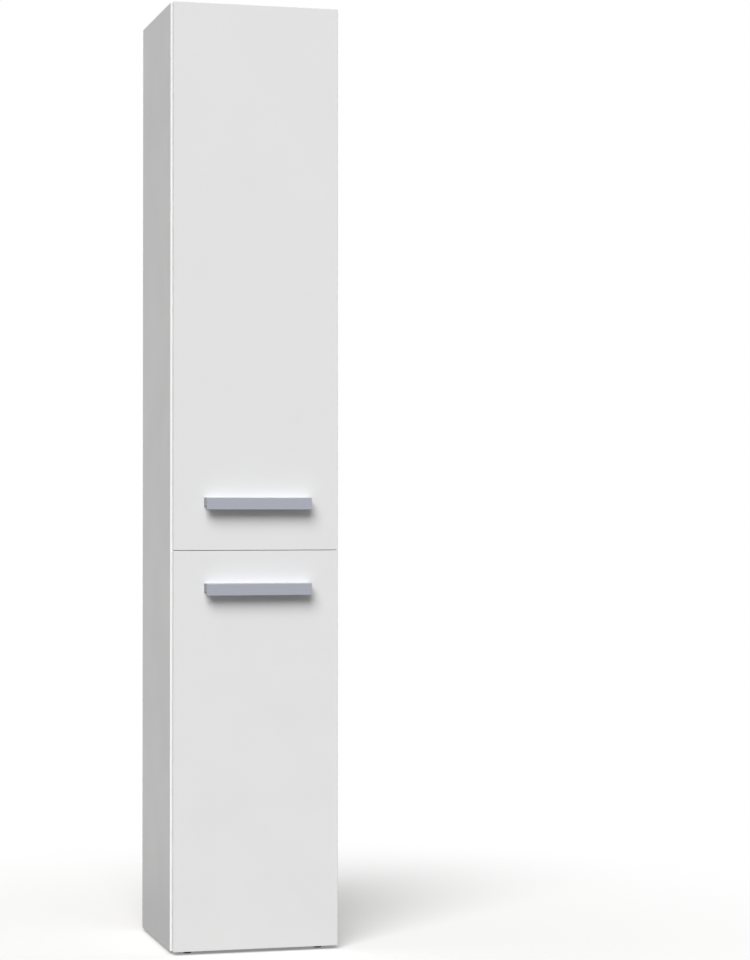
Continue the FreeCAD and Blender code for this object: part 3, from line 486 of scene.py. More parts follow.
# %% Dress the CAD pieces
BASKET = ["basket_back_wall", "basket_front_wall", "basket_left_wall", "basket_right_wall",
          "basket_floor_grille", "basket_top_braces"]
DRESS = {
    "melamine_upright": ["side_panel_left", "side_panel_right"],
    "melamine_front": ["door_panel", "flap_panel"],
    "melamine_flat": ["top_panel", "middle_panel", "bottom_panel", "upper_shelf", "lower_shelf"],
    "hardboard": ["back_panel"],
    "nickel": ["door_hinge_pins", "flap_hinge_pins", "shelf_pins",
               "door_hinge_arms", "door_hinge_plates", "door_hinge_cups", "flap_hinge_arms",
               "flap_hinge_plates", "flap_hinge_cups"],
    "zinc": ["cam_locks", "cam_bolts", "wall_bracket", "back_nails", "wall_bracket_screws",
             "door_plate_screws", "door_arm_screws", "flap_plate_screws", "flap_arm_screws",
             "door_cup_screws", "door_handle_screws", "flap_cup_screws", "flap_handle_screws",
             "basket_clip_screws"],
    "polypropylene": ["basket_clips", "cam_caps", "flap_stop_clips"],
    "polyethylene": ["feet"],
    "vinyl": ["door_bumpers", "flap_bumpers"],
    "beech": ["dowels"],
    "aluminium": ["door_handle", "flap_handle"],
    "coated_wire": BASKET,
}


def dress(thing, look):
    """Give every material slot of an object one finish."""
    if not thing.material_slots:
        thing.data.materials.append(look)
    for material_slot in thing.material_slots:
        material_slot.material = look


for key, names in DRESS.items():
    for name in names:
        dress(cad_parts[name], finishes[key])
undressed = set(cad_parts) - {n for names in DRESS.values() for n in names}
print("dressed", len(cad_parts), "CAD pieces, left over:", undressed)

# %% [markdown]
# ## Meshes by code
# A bmesh is Blender's workbench for a mesh: corners and faces are added by hand, and the result
# is copied into a plain mesh. `new_piece` then makes an object of it that rides on a body of
# the cabinet, is dressed in a finish and stands for the CAD pieces it replaces.

# %% New pieces
SHARP_FROM = 38.0   # degrees: edges that turn by more stay sharp, all else is shaded smooth


def mesh_from(shape):
    """A mesh from a bmesh, with its faces turned outward."""
    bmesh.ops.recalc_face_normals(shape, faces=shape.faces)
    mesh = bpy.data.meshes.new("model")
    shape.to_mesh(mesh)
    shape.free()
    return mesh


def new_piece(name, mesh, finish, body, *stands_for):
    """An object from a mesh: smooth but for sharp edges, dressed, riding on its body."""
    mesh.name = name
    mesh.polygons.foreach_set("use_smooth", [True] * len(mesh.polygons))
    mesh.set_sharp_from_angle(angle=math.radians(SHARP_FROM))
    piece = bpy.data.objects.new(name, mesh)
    bpy.context.scene.collection.objects.link(piece)
    dress(piece, finishes[finish])
    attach(piece, body)
    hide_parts(*stands_for)
    print(f"{name}: {len(mesh.polygons)} faces")


# %% [markdown]
# The CAD model also tells where small things sit. A node such as a set of screws holds several
# separate solids. Walking from corner to corner along the edges finds them one by one, and the
# box of each gives its place and size. Nothing has to be typed in twice.

# %% Solids of a CAD piece
SAME_POINT = 1e-6   # metres


def solids_of(node):
    """Low and high corner of each separate solid of a CAD piece."""
    shape = bmesh.new()
    shape.from_mesh(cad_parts[node].data)
    bmesh.ops.remove_doubles(shape, verts=shape.verts, dist=SAME_POINT)
    left, boxes = set(shape.verts), []
    while left:
        stack, found = [left.pop()], []
        while stack:
            corner = stack.pop()
            found.append(corner.co.copy())
            for edge in corner.link_edges:
                other = edge.other_vert(corner)
                if other in left:
                    left.remove(other)
                    stack.append(other)
        boxes.append(tuple(Vector(pick(axis) for axis in zip(*found)) for pick in (min, max)))
    shape.free()
    return sorted(boxes, key=lambda pair: tuple(pair[0]))


print("hinge cups on the door:", len(solids_of("door_hinge_cups")))

# %% [markdown]
# Extruded and pressed metal has no knife edges: a die or a bender leaves a radius in every
# corner. `rounded_outline` takes the corners of a drawn section, each with its own radius, and
# turns them into arcs. Smooth shading would let the arcs tint the flats beside them, so a point
# close to each end of an arc holds the flat.

# %% Rounded outlines
HOLD = 0.3 * MM       # how far the holding points lie from an arc
LONG_RUN = 4 * HOLD   # a shorter flat needs none


def rounded_outline(corners, steps):
    """Points of a closed outline from (a, b, radius) corners, each corner turned into an arc."""
    arcs = []
    for before, (a, b, radius), after in zip(corners[-1:] + corners[:-1], corners,
                                             corners[1:] + corners[:1]):
        tip = Vector((a, b))
        to_before = (Vector(before[:2]) - tip).normalized()
        to_after = (Vector(after[:2]) - tip).normalized()
        half = to_before.angle(to_after) / 2
        middle = tip + (to_before + to_after).normalized() * (radius / math.sin(half))
        start = tip + to_before * (radius / math.tan(half)) - middle
        end = tip + to_after * (radius / math.tan(half)) - middle
        arcs.append([middle + start.slerp(end, step / steps).normalized() * radius
                     for step in range(steps + 1)])
    points = []
    for arc, following in zip(arcs, arcs[1:] + arcs[:1]):
        run = following[0] - arc[-1]
        hold = run.normalized() * HOLD
        points += arc + ([arc[-1] + hold, following[0] - hold] if run.length > LONG_RUN else [])
    return points


print("flats are held", round(HOLD / MM, 2), "mm from each arc")

# %% [markdown]
# An outline becomes a solid when it is pushed along a line. `skin` lays faces between rings of
# corners and serves round pieces as well, where a ring may shrink to one point. `prism` pushes
# an outline, closes both ends and breaks their edges with a small bevel, as a file would.

# %% Pushed outlines
BEVEL_STEPS = 2


def skin(shape, rings):
    """Faces between each ring of corners and the next."""
    for ring, following in zip(rings, rings[1:]):
        for i in range(max(len(ring), len(following))):
            corners = (ring[i % len(ring)], following[i % len(following)],
                       following[(i + 1) % len(following)], ring[(i + 1) % len(ring)])
            shape.faces.new(dict.fromkeys(corners))


def prism(shape, outline, spot, low, high, edge):
    """Push a closed outline from one level to another and break the edges of both ends."""
    hold = 2 * edge   # rings just beyond the bevels keep the long flats flat
    rings = [[shape.verts.new(spot(p.x, p.y, level)) for p in outline]
             for level in (low, low + hold, high - hold, high)]
    caps = [shape.faces.new(ring) for ring in (rings[0], rings[-1])]
    rims = [rim for cap in caps for rim in cap.edges]
    skin(shape, rings)
    bmesh.ops.recalc_face_normals(shape, faces=shape.faces)
    bmesh.ops.bevel(shape, geom=rims, offset=edge, segments=BEVEL_STEPS, affect="EDGES")


print("ends are bevelled in", BEVEL_STEPS, "steps")

# %% [markdown]
# ## Bar handles
# Each handle is a length of extruded L-section: a broad lip in front and a deep web behind it
# that the screws pull against the door. Fingers go up behind the lip. A box with modifiers
# would round every edge alike. Here the section is drawn once with the radius of each corner
# and pushed along X, which is how the real bar is made. A small bevel breaks the sawn ends.

# %% Bar handles
LIP, WEB = 6.5 * MM, 15.0 * MM
LIP_ROUND, INNER_ROUND, SEAT_ROUND = 0.9 * MM, 2.5 * MM, 0.4 * MM
SAWN_EDGE = 0.35 * MM
HANDLE_STEPS = 6   # points in a corner's arc

for leaf in ("door", "flap"):
    low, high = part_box(leaf + "_handle")
    web_low, lip_back = high.z - WEB, low.y + LIP
    section = rounded_outline([
        (low.y, low.z, LIP_ROUND), (low.y, high.z, LIP_ROUND), (high.y, high.z, SEAT_ROUND),
        (high.y, web_low, SEAT_ROUND), (lip_back, web_low, INNER_ROUND),
        (lip_back, low.z, LIP_ROUND)], HANDLE_STEPS)
    bar = bmesh.new()
    prism(bar, section, lambda y, z, x: (x, y, z), low.x, high.x, SAWN_EDGE)
    new_piece(leaf + "_bar_handle", mesh_from(bar), "aluminium", leaf, leaf + "_handle")
    print(leaf, "handle:", round((high.x - low.x) / MM, 1), "mm long")

# %% [markdown]
# ## Wire basket
# On the real basket each ring is one wire bent round four corners, and the uprights are welded
# inside. Wire follows a path, so it is a job for Geometry Nodes: a polyline becomes a curve,
# its corners are filleted to the bend radius, a circle is swept along it, and the result is
# repeated at a step. The same tree draws rings, uprights, floor and braces with other numbers.

# %% Geometry Nodes: a bent wire
BEND_STEPS, WIRE_SIDES = 6, 14


def new_tree(name, inputs):
    """A Geometry Nodes tree with named inputs: returns the tree and the sockets of its inputs."""
    tree = bpy.data.node_groups.new(name, "GeometryNodeTree")
    tree.interface.new_socket("Geometry", in_out="INPUT", socket_type="NodeSocketGeometry")
    for label, kind in inputs.items():
        tree.interface.new_socket(label, in_out="INPUT", socket_type="NodeSocket" + kind)
    tree.interface.new_socket("Geometry", in_out="OUTPUT", socket_type="NodeSocketGeometry")
    return tree, add(tree, "NodeGroupInput").outputs


wire_tree, given = new_tree("bent_wire", {
    "Wire Radius": "Float", "Bend Radius": "Float", "Copies": "Int", "Step": "Vector",
    "Finish": "Material"})
path = add(wire_tree, "GeometryNodeMeshToCurve", {"Mesh": given["Geometry"]})
bent = add(wire_tree, "GeometryNodeFilletCurve",
           {"Curve": path, "Radius": given["Bend Radius"], "Limit Radius": True,
            "Count": BEND_STEPS}, mode="POLY")
round_section = add(wire_tree, "GeometryNodeCurvePrimitiveCircle",
                    {"Resolution": WIRE_SIDES, "Radius": given["Wire Radius"]})
swept = add(wire_tree, "GeometryNodeCurveToMesh",
            {"Curve": bent, "Profile Curve": round_section, "Fill Caps": True})
row = add(wire_tree, "GeometryNodeMeshLine", {"Count": given["Copies"], "Offset": given["Step"]})
copies = add(wire_tree, "GeometryNodeInstanceOnPoints", {"Points": row, "Instance": swept})
real = add(wire_tree, "GeometryNodeRealizeInstances", {"Geometry": copies})
coated = add(wire_tree, "GeometryNodeSetMaterial",
             {"Geometry": real, "Material": given["Finish"]})
add(wire_tree, "NodeGroupOutput", {"Geometry": coated})
print("tree bent_wire:", len(wire_tree.nodes), "nodes")

# %% [markdown]
# The basket's places come from the CAD walls: outer faces less the wire's radius. All wires
# are named by their centre lines, because that is what a bender works with.

# %% Places of the wires
RIM_R, RING_R, THIN_R = 2.5 * MM, 2.0 * MM, 1.5 * MM

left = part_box("basket_left_wall")[0].x + RIM_R
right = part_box("basket_right_wall")[1].x - RIM_R
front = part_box("basket_front_wall")[0].y + RIM_R
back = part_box("basket_back_wall")[1].y - RIM_R
rim_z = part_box("basket_back_wall")[1].z - RIM_R
floor_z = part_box("basket_back_wall")[0].z + RING_R
run_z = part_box("basket_floor_grille")[1].z - THIN_R
cross_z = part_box("basket_floor_grille")[0].z + THIN_R
print("basket:", round(right - left, 4), "wide,", round(back - front, 4), "deep")

# %% [markdown]
# A tree works on an object, so `run_tree` lends it one, sets the inputs by their identifiers,
# takes the evaluated result as a plain mesh and throws the object away. `wire` hands it a path.

# %% Running a tree


def run_tree(tree, mesh, values):
    """A plain mesh: what the tree makes of a mesh with these inputs."""
    holder = bpy.data.objects.new("holder", mesh)
    bpy.context.scene.collection.objects.link(holder)
    modifier = holder.modifiers.new("nodes", "NODES")
    modifier.node_group = tree
    for socket in tree.interface.items_tree:
        if socket.in_out == "INPUT" and socket.name in values:
            modifier[socket.identifier] = values[socket.name]
    seen = holder.evaluated_get(bpy.context.evaluated_depsgraph_get())
    result = bpy.data.meshes.new_from_object(seen)
    bpy.data.objects.remove(holder)
    return result


def wire(points, radius, bend=0.0, number=1, step=(0, 0, 0), closed=False):
    """Mesh of a wire along points, repeated a number of times at a step."""
    path = bpy.data.meshes.new("path")
    links = [(i, i + 1) for i in range(len(points) - 1)]
    path.from_pydata(points, links + ([(len(points) - 1, 0)] if closed else []), [])
    return run_tree(wire_tree, path, {"Wire Radius": radius, "Bend Radius": bend,
                                      "Copies": number, "Step": step,
                                      "Finish": finishes["coated_wire"]})


print("inputs of a wire:", [given_input.name for given_input in wire_tree.interface.items_tree
                            if given_input.in_out == "INPUT"])

# %% [markdown]
# The first wires are the rings: a thick one as the rim, three thinner ones below it and one
# round the floor. A ring is a closed path of four points, and the tree bends its corners.

# %% Rings
RING_BEND = 6 * MM
RING_PITCH, RING_COUNT = 155 * MM, 3


def ring_at(z, radius, number=1):
    """A ring round the basket at a height, with more of them below it."""
    corners = [(left, front, z), (right, front, z), (right, back, z), (left, back, z)]
    return wire(corners, radius, RING_BEND, number, (0, 0, -RING_PITCH), closed=True)


wires = [ring_at(rim_z, RIM_R), ring_at(rim_z - RING_PITCH, RING_R, RING_COUNT),
         ring_at(floor_z, RING_R)]
print(len(wires), "groups of rings, with the rim at", round(rim_z, 4))

# %% [markdown]
# Seven wires stand at the back. The five inner ones turn forward at the bottom and become the
# floor, so each of them is one long wire with one bend, as it comes from the bending machine.
# Four stand at the front, two on each side, and three cross wires carry the floor. They lie
# inside the rings and are pressed in a little at each weld.

# %% Uprights and floor
WELD = RING_R + THIN_R - 0.4 * MM           # from a ring's centre line to an upright's
CORNER_GAP = RIM_R + THIN_R + 0.3 * MM      # keeps the outer uprights out of the corner bends
FLOOR_BEND, FLOOR_SHORT = 11 * MM, 12 * MM  # floor wires end short of the front ring
BACK_WIRES, BACK_STRAIGHT, FRONT_WIRES, SIDE_WIRES, CROSS_WIRES = 7, 2, 4, 2, 3

inner_left, inner_right = left + CORNER_GAP, right - CORNER_GAP
inner = inner_right - inner_left
back_step = inner / (BACK_WIRES - 1)
side_step = (back - front) / (SIDE_WIRES + 1)
cross_step = (back - front) / CROSS_WIRES
first_bent, back_y, front_y = inner_left + back_step, back - WELD, front + WELD
first_cross = front + cross_step / 2


def uprights(x, y, number, step):
    """Straight wires from the floor ring to the rim."""
    return wire([(x, y, floor_z), (x, y, rim_z)], THIN_R, number=number, step=step)


wires += [
    uprights(inner_left, back_y, BACK_STRAIGHT, (inner, 0, 0)),
    wire([(first_bent, back_y, rim_z), (first_bent, back_y, run_z),
          (first_bent, front + FLOOR_SHORT, run_z)], THIN_R, FLOOR_BEND,
         BACK_WIRES - BACK_STRAIGHT, (back_step, 0, 0)),
    uprights(inner_left, front_y, FRONT_WIRES, (inner / (FRONT_WIRES - 1), 0, 0)),
    wire([(left, first_cross, cross_z), (right, first_cross, cross_z)], THIN_R,
         number=CROSS_WIRES, step=(0, cross_step, 0)),
]
for side_x in (left + WELD, right - WELD):
    wires.append(uprights(side_x, front + side_step, SIDE_WIRES, (0, side_step, 0)))
print(len(wires), "groups of wires, uprights at the back every", round(back_step, 4))

# %% [markdown]
# A brace on each side ties a back corner of the rim to the top of the flap. Its back end is
# bent in along the rim, where it is welded on. All wires become one mesh: one welded piece.

# %% Braces, and the finished basket
BRACE_FOOT, BRACE_BEND = 22 * MM, 6 * MM
BRACE_SHORT = 0.8 * MM   # the cut end of a sloping wire would reach past the CAD piece

brace_low, brace_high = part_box("basket_top_braces")
foot_z, brace_front = rim_z + RIM_R + RING_R, brace_low.y + BRACE_SHORT
for corner_x, inward in ((left, 1), (right, -1)):
    wires.append(wire([(corner_x + inward * BRACE_FOOT, back, foot_z), (corner_x, back, foot_z),
                       (corner_x, brace_front, brace_high.z - RING_R)], RING_R, BRACE_BEND))

welded = bmesh.new()
for mesh in wires:
    welded.from_mesh(mesh)
new_piece("wire_basket", mesh_from(welded), "coated_wire", "flap", *BASKET)
print("basket:", len(wires), "groups of wires in one piece")

# %% [markdown]
# ## Fasteners, turned pieces and hinges
# Screws, nails, caps, pins, feet, bumpers and hinges repeat, so each is modelled once and set
# at every place by a second tree. Two attributes on a point say how its piece stands: where its
# Z axis looks and where its X axis heads. Screws also get a random turn about their own axis,
# because nobody lines up the recesses.

# %% Geometry Nodes: pieces set on points
LEAST, MOST = 2, 3   # sockets of a Random Value node for plain numbers

set_tree, given = new_tree("set_on_points", {"Model": "Object", "Turn": "Float", "Seed": "Int",
                                             "Finish": "Material"})
facing, heading = (add(set_tree, "GeometryNodeInputNamedAttribute", {"Name": name},
                       data_type="FLOAT_VECTOR") for name in ("facing", "heading"))
upright = add(set_tree, "FunctionNodeAlignRotationToVector", {"Vector": facing}, axis="Z")
headed = add(set_tree, "FunctionNodeAlignRotationToVector",
             {"Rotation": upright, "Vector": heading}, axis="X", pivot_axis="Z")
spin = add(set_tree, "FunctionNodeRandomValue",
           {LEAST: 0.0, MOST: given["Turn"], "Seed": given["Seed"]}, data_type="FLOAT")
about = add(set_tree, "FunctionNodeAxisAngleToRotation", {"Axis": (0, 0, 1), "Angle": spin})
turned = add(set_tree, "FunctionNodeRotateRotation", {"Rotation": headed, "Rotate By": about},
             rotation_space="LOCAL")
model = add(set_tree, "GeometryNodeObjectInfo", {"Object": given["Model"]})
placed = add(set_tree, "GeometryNodeInstanceOnPoints",
             {"Points": given["Geometry"], "Instance": model.outputs["Geometry"],
              "Rotation": turned})
real = add(set_tree, "GeometryNodeRealizeInstances", {"Geometry": placed})
coated = add(set_tree, "GeometryNodeSetMaterial", {"Geometry": real, "Material": given["Finish"]})
add(set_tree, "NodeGroupOutput", {"Geometry": coated})
print("tree set_on_points:", len(set_tree.nodes), "nodes")

# %% [markdown]
# A spot is a place with its facing and its heading. Most spots come straight from the CAD: the
# middle of the end face of each solid, sunk by the height of a head, so that the model's origin
# is the seat under the head. All copies that stand for one CAD node become one object.

# %% Setting pieces on points
BACKWARD, UP, DOWN, LEFTWARD = (0, 1, 0), (0, 0, 1), (0, 0, -1), (-1, 0, 0)
ACROSS = ((0, 1, 0), (1, 0, 0), (1, 0, 0))  # a heading at right angles to each axis


def spots_on(node, way, sunk):
    """A spot on each solid of a node: the middle of its end face, sunk back along its facing."""
    axis = max(range(3), key=lambda i: abs(way[i]))
    spots = []
    for low, high in solids_of(node):
        spot = (low + high) / 2
        spot[axis] = high[axis] - sunk if way[axis] > 0 else low[axis] + sunk
        spots.append((spot, way, ACROSS[axis]))
    return spots


def set_on_points(node, template, spots, finish, body, turn=math.tau):
    """Copies of a mesh at (place, facing, heading) spots, as one piece that stands for a node."""
    name = node + "_made"
    points = bpy.data.meshes.new(name + "_points")
    points.from_pydata([spot[0] for spot in spots], [], [])
    for column, label in ((1, "facing"), (2, "heading")):
        ways = points.attributes.new(label, "FLOAT_VECTOR", "POINT")
        ways.data.foreach_set("vector", [v for spot in spots for v in spot[column]])
    model_object = bpy.data.objects.new(name + "_model", template)
    seed = len(name)   # fixed, and not the same for every piece
    mesh = run_tree(set_tree, points, {"Model": model_object, "Turn": turn, "Seed": seed,
                                       "Finish": finishes[finish]})
    bpy.data.objects.remove(model_object)
    new_piece(name, mesh, finish, body, node)


top_screw = spots_on("wall_bracket_screws", UP, 0)[0][0]
print("a screw of the wall bracket ends at z =", round(top_screw.z, 4))

# %% [markdown]
# ### Screws
# A furniture screw has a low pan head with a cross recess. A boolean cut would do, but it leaves
# untidy faces. Here the head's top is drawn as a ring between a circle and a cross, and the
# cross is pushed down into a recess with slightly sloping walls.

# %% Top of a screw head
CROSS_LONG_SHARE, CROSS_WIDE_SHARE = 0.62, 0.17  # half the cross, against the head's radius
PIT_SHARE, RECESS_SHARE = 0.8, 0.6               # its floor against its brim, depth in the head
CROWN_SHARE = 0.82                               # flat of the head, against its radius
SCREW_SIDES = 24


def circle(radius, sides):
    """Corners of a circle round the origin."""
    turns = [math.tau * i / sides for i in range(sides)]
    return [(radius * math.cos(turn), radius * math.sin(turn)) for turn in turns]


def corners_at(shape, outline, height):
    """New corners of a bmesh: the (x, y) points of an outline at a height."""
    return [shape.verts.new((x, y, height)) for x, y in outline]


def screw_top(shape, head, thick):
    """The flat of a pan head with its cross recess: returns the corners of its outer circle."""
    reach, half = CROSS_LONG_SHARE * head, CROSS_WIDE_SHARE * head
    cross = [(reach, half), (half, half), (half, reach)]
    cross += [(-y, x) for x, y in cross]
    cross += [(-x, -y) for x, y in cross]
    brim = corners_at(shape, cross, thick)
    crown = corners_at(shape, circle(CROWN_SHARE * head, SCREW_SIDES), thick)
    loops = [shape.edges.new(pair) for ends in (brim, crown)
             for pair in zip(ends, ends[1:] + ends[:1])]
    bmesh.ops.triangle_fill(shape, edges=loops, use_beauty=True)
    over_pit = [f for f in shape.faces if all(v in brim for v in f.verts)]
    bmesh.ops.delete(shape, geom=over_pit, context="FACES_ONLY")
    pit = corners_at(shape, [(x * PIT_SHARE, y * PIT_SHARE) for x, y in cross],
                     thick * (1 - RECESS_SHARE))
    shape.faces.new(pit)
    skin(shape, [brim, pit])
    return crown


print("a recess goes down", RECESS_SHARE, "of the head")

# %% [markdown]
# Below the top a screw is round: the head's rounded side, its seat, and a plain shank with a
# blunt end. The thread is left out, because it is hidden in the wood.

# %% Model of a screw
HEAD_SHARES = ((0.95, 0.8), (1, 0.5), (1, 0))  # radius and height down the head's side
POINT_SHARE = 0.2                              # blunt end, against the shank's radius


def screw_mesh(head, thick, shank, length):
    """A pan head screw: its seat at the origin, its head up and its shank down."""
    shape = bmesh.new()
    profile = [(head * wide, thick * high) for wide, high in HEAD_SHARES]
    profile += [(shank, 0), (shank, -length + shank), (shank * POINT_SHARE, -length)]
    rings = [screw_top(shape, head, thick)]
    rings += [corners_at(shape, circle(radius, SCREW_SIDES), height) for radius, height in profile]
    shape.faces.new(rings[-1])
    skin(shape, rings)
    return mesh_from(shape)


print("a screw is drawn with", SCREW_SIDES, "sides")

# %% [markdown]
# Ten groups of screws hold hinges, handles, clips and bracket. Each group has its own size of
# screw. The CAD solid tells how long it is and where it sits; the table tells the rest.

# %% Screws
SCREWS = {  # body, facing, head radius, head thickness and shank radius in mm
    "door_plate_screws": ("carcass", LEFTWARD, 3.6, 1.8, 1.9),
    "door_arm_screws": ("carcass", LEFTWARD, 3.6, 2.0, 2.2),
    "flap_plate_screws": ("carcass", UP, 3.6, 1.8, 1.9),
    "flap_arm_screws": ("carcass", UP, 3.6, 2.0, 2.2),
    "wall_bracket_screws": ("carcass", UP, 3.6, 1.8, 1.9),
    "door_cup_screws": ("door", BACKWARD, 3.5, 1.4, 1.75),
    "door_handle_screws": ("door", BACKWARD, 4.0, 1.8, 2.0),
    "flap_cup_screws": ("flap", BACKWARD, 3.5, 1.4, 1.75),
    "flap_handle_screws": ("flap", BACKWARD, 4.0, 1.8, 2.0),
    "basket_clip_screws": ("flap", BACKWARD, 3.0, 1.5, 1.6),
}

for node, (body, way, head, thick, shank) in SCREWS.items():
    low, high = solids_of(node)[0]
    whole = max((high - low)[i] for i in range(3) if way[i])
    template = screw_mesh(head * MM, thick * MM, shank * MM, whole - thick * MM)
    set_on_points(node, template, spots_on(node, way, thick * MM), "zinc", body)
print("groups of screws:", len(SCREWS))

# %% [markdown]
# ### Nails
# The nails, and the pieces after them, are round: a profile turned about an axis, as on a
# lathe. A profile is a short list of radius and height in millimetres, from the top down. Nail
# heads are slightly domed and stand a hair proud of the back.

# %% Nails
NAIL = [(0, 0.5), (1.2, 0.42), (2.0, 0.15), (2.2, -0.1), (1.2, -0.2), (1.2, -16.0), (0, -17.5)]
NAIL_SIDES = 16


def turned_piece(profile, sides):
    """A mesh turned about Z from (radius, height) points in mm. Radius 0 is a single corner."""
    shape = bmesh.new()
    skin(shape, [corners_at(shape, circle(radius * MM, sides if radius else 1), height * MM)
                 for radius, height in profile])
    return mesh_from(shape)


nail_spots = spots_on("back_nails", BACKWARD, 0)
set_on_points("back_nails", turned_piece(NAIL, NAIL_SIDES), nail_spots, "zinc", "carcass")
print("nails:", len(nail_spots))

# %% [markdown]
# ### Cam caps
# A cam lock leaves a round hole in a board, and a shallow plastic dome closes it. The caps on
# the top panel look up, and all others look down.

# %% Cam caps
CAP = [(0, 1.0), (4.0, 0.95), (6.5, 0.8), (7.8, 0.5), (8.4, 0.2), (8.5, 0), (6.6, 0),
       (6.4, -1.5), (0, -1.5)]
CAP_SIDES = 40
CAP_NEAR = 1 * MM   # a cap that begins this near the top face, or above it, is an upper one

cap_spots = []
for low, high in solids_of("cam_caps"):
    over = low.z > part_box("top_panel")[1].z - CAP_NEAR
    x, y, _ = (low + high) / 2
    cap_spots.append(((x, y, low.z if over else high.z), UP if over else DOWN, ACROSS[2]))
set_on_points("cam_caps", turned_piece(CAP, CAP_SIDES), cap_spots, "polypropylene", "carcass")
print("cam caps:", len(cap_spots))

# %% [markdown]
# ### Bumpers
# Small drops of clear vinyl on the inside of the door and the flap soften the closing. A drop
# is flat where it sticks and round everywhere else.

# %% Bumpers
DROP = [(0, 2.0), (1.4, 1.92), (2.6, 1.6), (3.5, 1.0), (3.9, 0.4), (4.0, 0), (0, 0)]
DROP_SIDES, DROP_HIGH = 32, 2 * MM

drop = turned_piece(DROP, DROP_SIDES)
for leaf in ("door", "flap"):
    node = leaf + "_bumpers"
    set_on_points(node, drop, spots_on(node, BACKWARD, DROP_HIGH), "vinyl", leaf)
print("bumpers:", round(DROP_HIGH / MM, 1), "mm high")

# %% [markdown]
# ### Feet
# The cabinet stands on four dark glides. Each has a stem in the board, a rounded sole and a
# groove round its rim for a fingernail.

# %% Feet
FOOT = [(0, 16.0), (2.0, 16.0), (2.5, 15.5), (2.5, 5.5), (7.2, 5.5), (7.5, 5.2), (7.5, 3.9),
        (7.1, 3.6), (7.1, 3.1), (7.5, 2.8), (7.5, 1.2), (7.2, 0.5), (6.8, 0.1), (6.3, 0), (0, 0)]
FOOT_SIDES = 40

foot_spots = []
for low, high in solids_of("feet"):
    x, y, _ = (low + high) / 2
    foot_spots.append(((x, y, 0), UP, ACROSS[2]))
set_on_points("feet", turned_piece(FOOT, FOOT_SIDES), foot_spots, "polyethylene", "carcass")
print("feet:", len(foot_spots))

# %% [markdown]
# ### Shelf pins
# A shelf pin is a short steel rod with a collar that stops it at the side panel. One half is in
# the panel's hole and the other carries the shelf, so pins on both sides look inward.

# %% Shelf pins
PIN = [(0, 8.0), (1.9, 8.0), (2.5, 7.4), (2.5, 1.4), (3.6, 1.2), (3.8, 0.9), (3.8, 0), (2.5, 0),
       (2.5, -7.6), (2.1, -8.0), (0, -8.0)]
PIN_SIDES = 24

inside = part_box("side_panel_right")[0].x
pin_spots = []
for low, high in solids_of("shelf_pins"):
    x, y, z = (low + high) / 2
    hand = 1 if x > 0 else -1
    pin_spots.append(((hand * inside, y, z), (-hand, 0, 0), ACROSS[0]))
set_on_points("shelf_pins", turned_piece(PIN, PIN_SIDES), pin_spots, "nickel", "carcass")
print("shelf pins:", len(pin_spots))

# %% [markdown]
# ### Hinges
# A cup hinge is pressed from sheet steel: a bowl with a flange let into the leaf, a channel
# shaped arm that bends into the bowl and holds the pin, and a winged plate on the carcass. All
# three are drawn in the hinge's own millimetres: X along the pin, Y from the leaf's edge
# inwards, Z back into the cabinet. The door and the flap then only differ in how points head.
# The cup comes first. It is almost round, so it is built from rings whose reach depends on the
# angle: the flange has two ears, and the bowl's wall has a notch for the arm.

# %% Outlines of a hinge cup
CUP_AT = 20.5                 # from the leaf's edge to the middle of the cup
BOWL_OUT, BOWL_IN, COLLAR = 17.4, 16.5, 18.8
EAR_LONG, EAR_WIDE = 31.0, 8.0
NOTCH_HALF, NOTCH_DEEP = 5.0, 0.85   # the wall gives way to the arm at the leaf's edge
CUP_SIDES = 96


def flange_reach(angle):
    """Radius of the flange's outline: a collar round the bowl with a rounded ear either side."""
    along, across = abs(math.cos(angle)), abs(math.sin(angle))
    ear = EAR_LONG - EAR_WIDE
    if across * ear > EAR_WIDE * along:
        return max(COLLAR, EAR_WIDE / across)
    return ear * along + math.sqrt(EAR_WIDE ** 2 - (ear * across) ** 2)


def wall_reach(angle, radius):
    """Radius of the bowl's inside, deeper where the arm passes when the leaf is wide open."""
    notched = math.sin(angle) < 0 and abs(radius * math.cos(angle)) < NOTCH_HALF
    return radius + (NOTCH_DEEP if notched else 0)


def cup_ring(shape, reach, height):
    """A ring of corners round the cup, at a reach that depends on the angle."""
    turns = [math.tau * i / CUP_SIDES for i in range(CUP_SIDES)]
    outline = [(reach(t) * math.cos(t) * MM, (CUP_AT + reach(t) * math.sin(t)) * MM)
               for t in turns]
    return corners_at(shape, outline, height * MM)


print("the flange reaches", flange_reach(0), "mm along and", flange_reach(math.tau / 4), "across")

# %% [markdown]
# The rings run from the middle of the bowl's underside, up its outer wall, out and over the
# flange, down the inner wall and back to the middle of its floor.

# %% Model of a hinge cup
MOUTH, FLANGE_TOP, BOWL_FLOOR = -2.5, -1.0, -13.5
SHEET, HUB = 1.0, 0.5                    # thickness of the floor, small disc at its middle
BOWL_CUT_IN, BOWL_CUT_UP = 0.6, 0.5      # how the corner under the bowl is broken
FLANGE_CUT, LIP_CUT, FILLET = 0.4, 0.5, 1.0

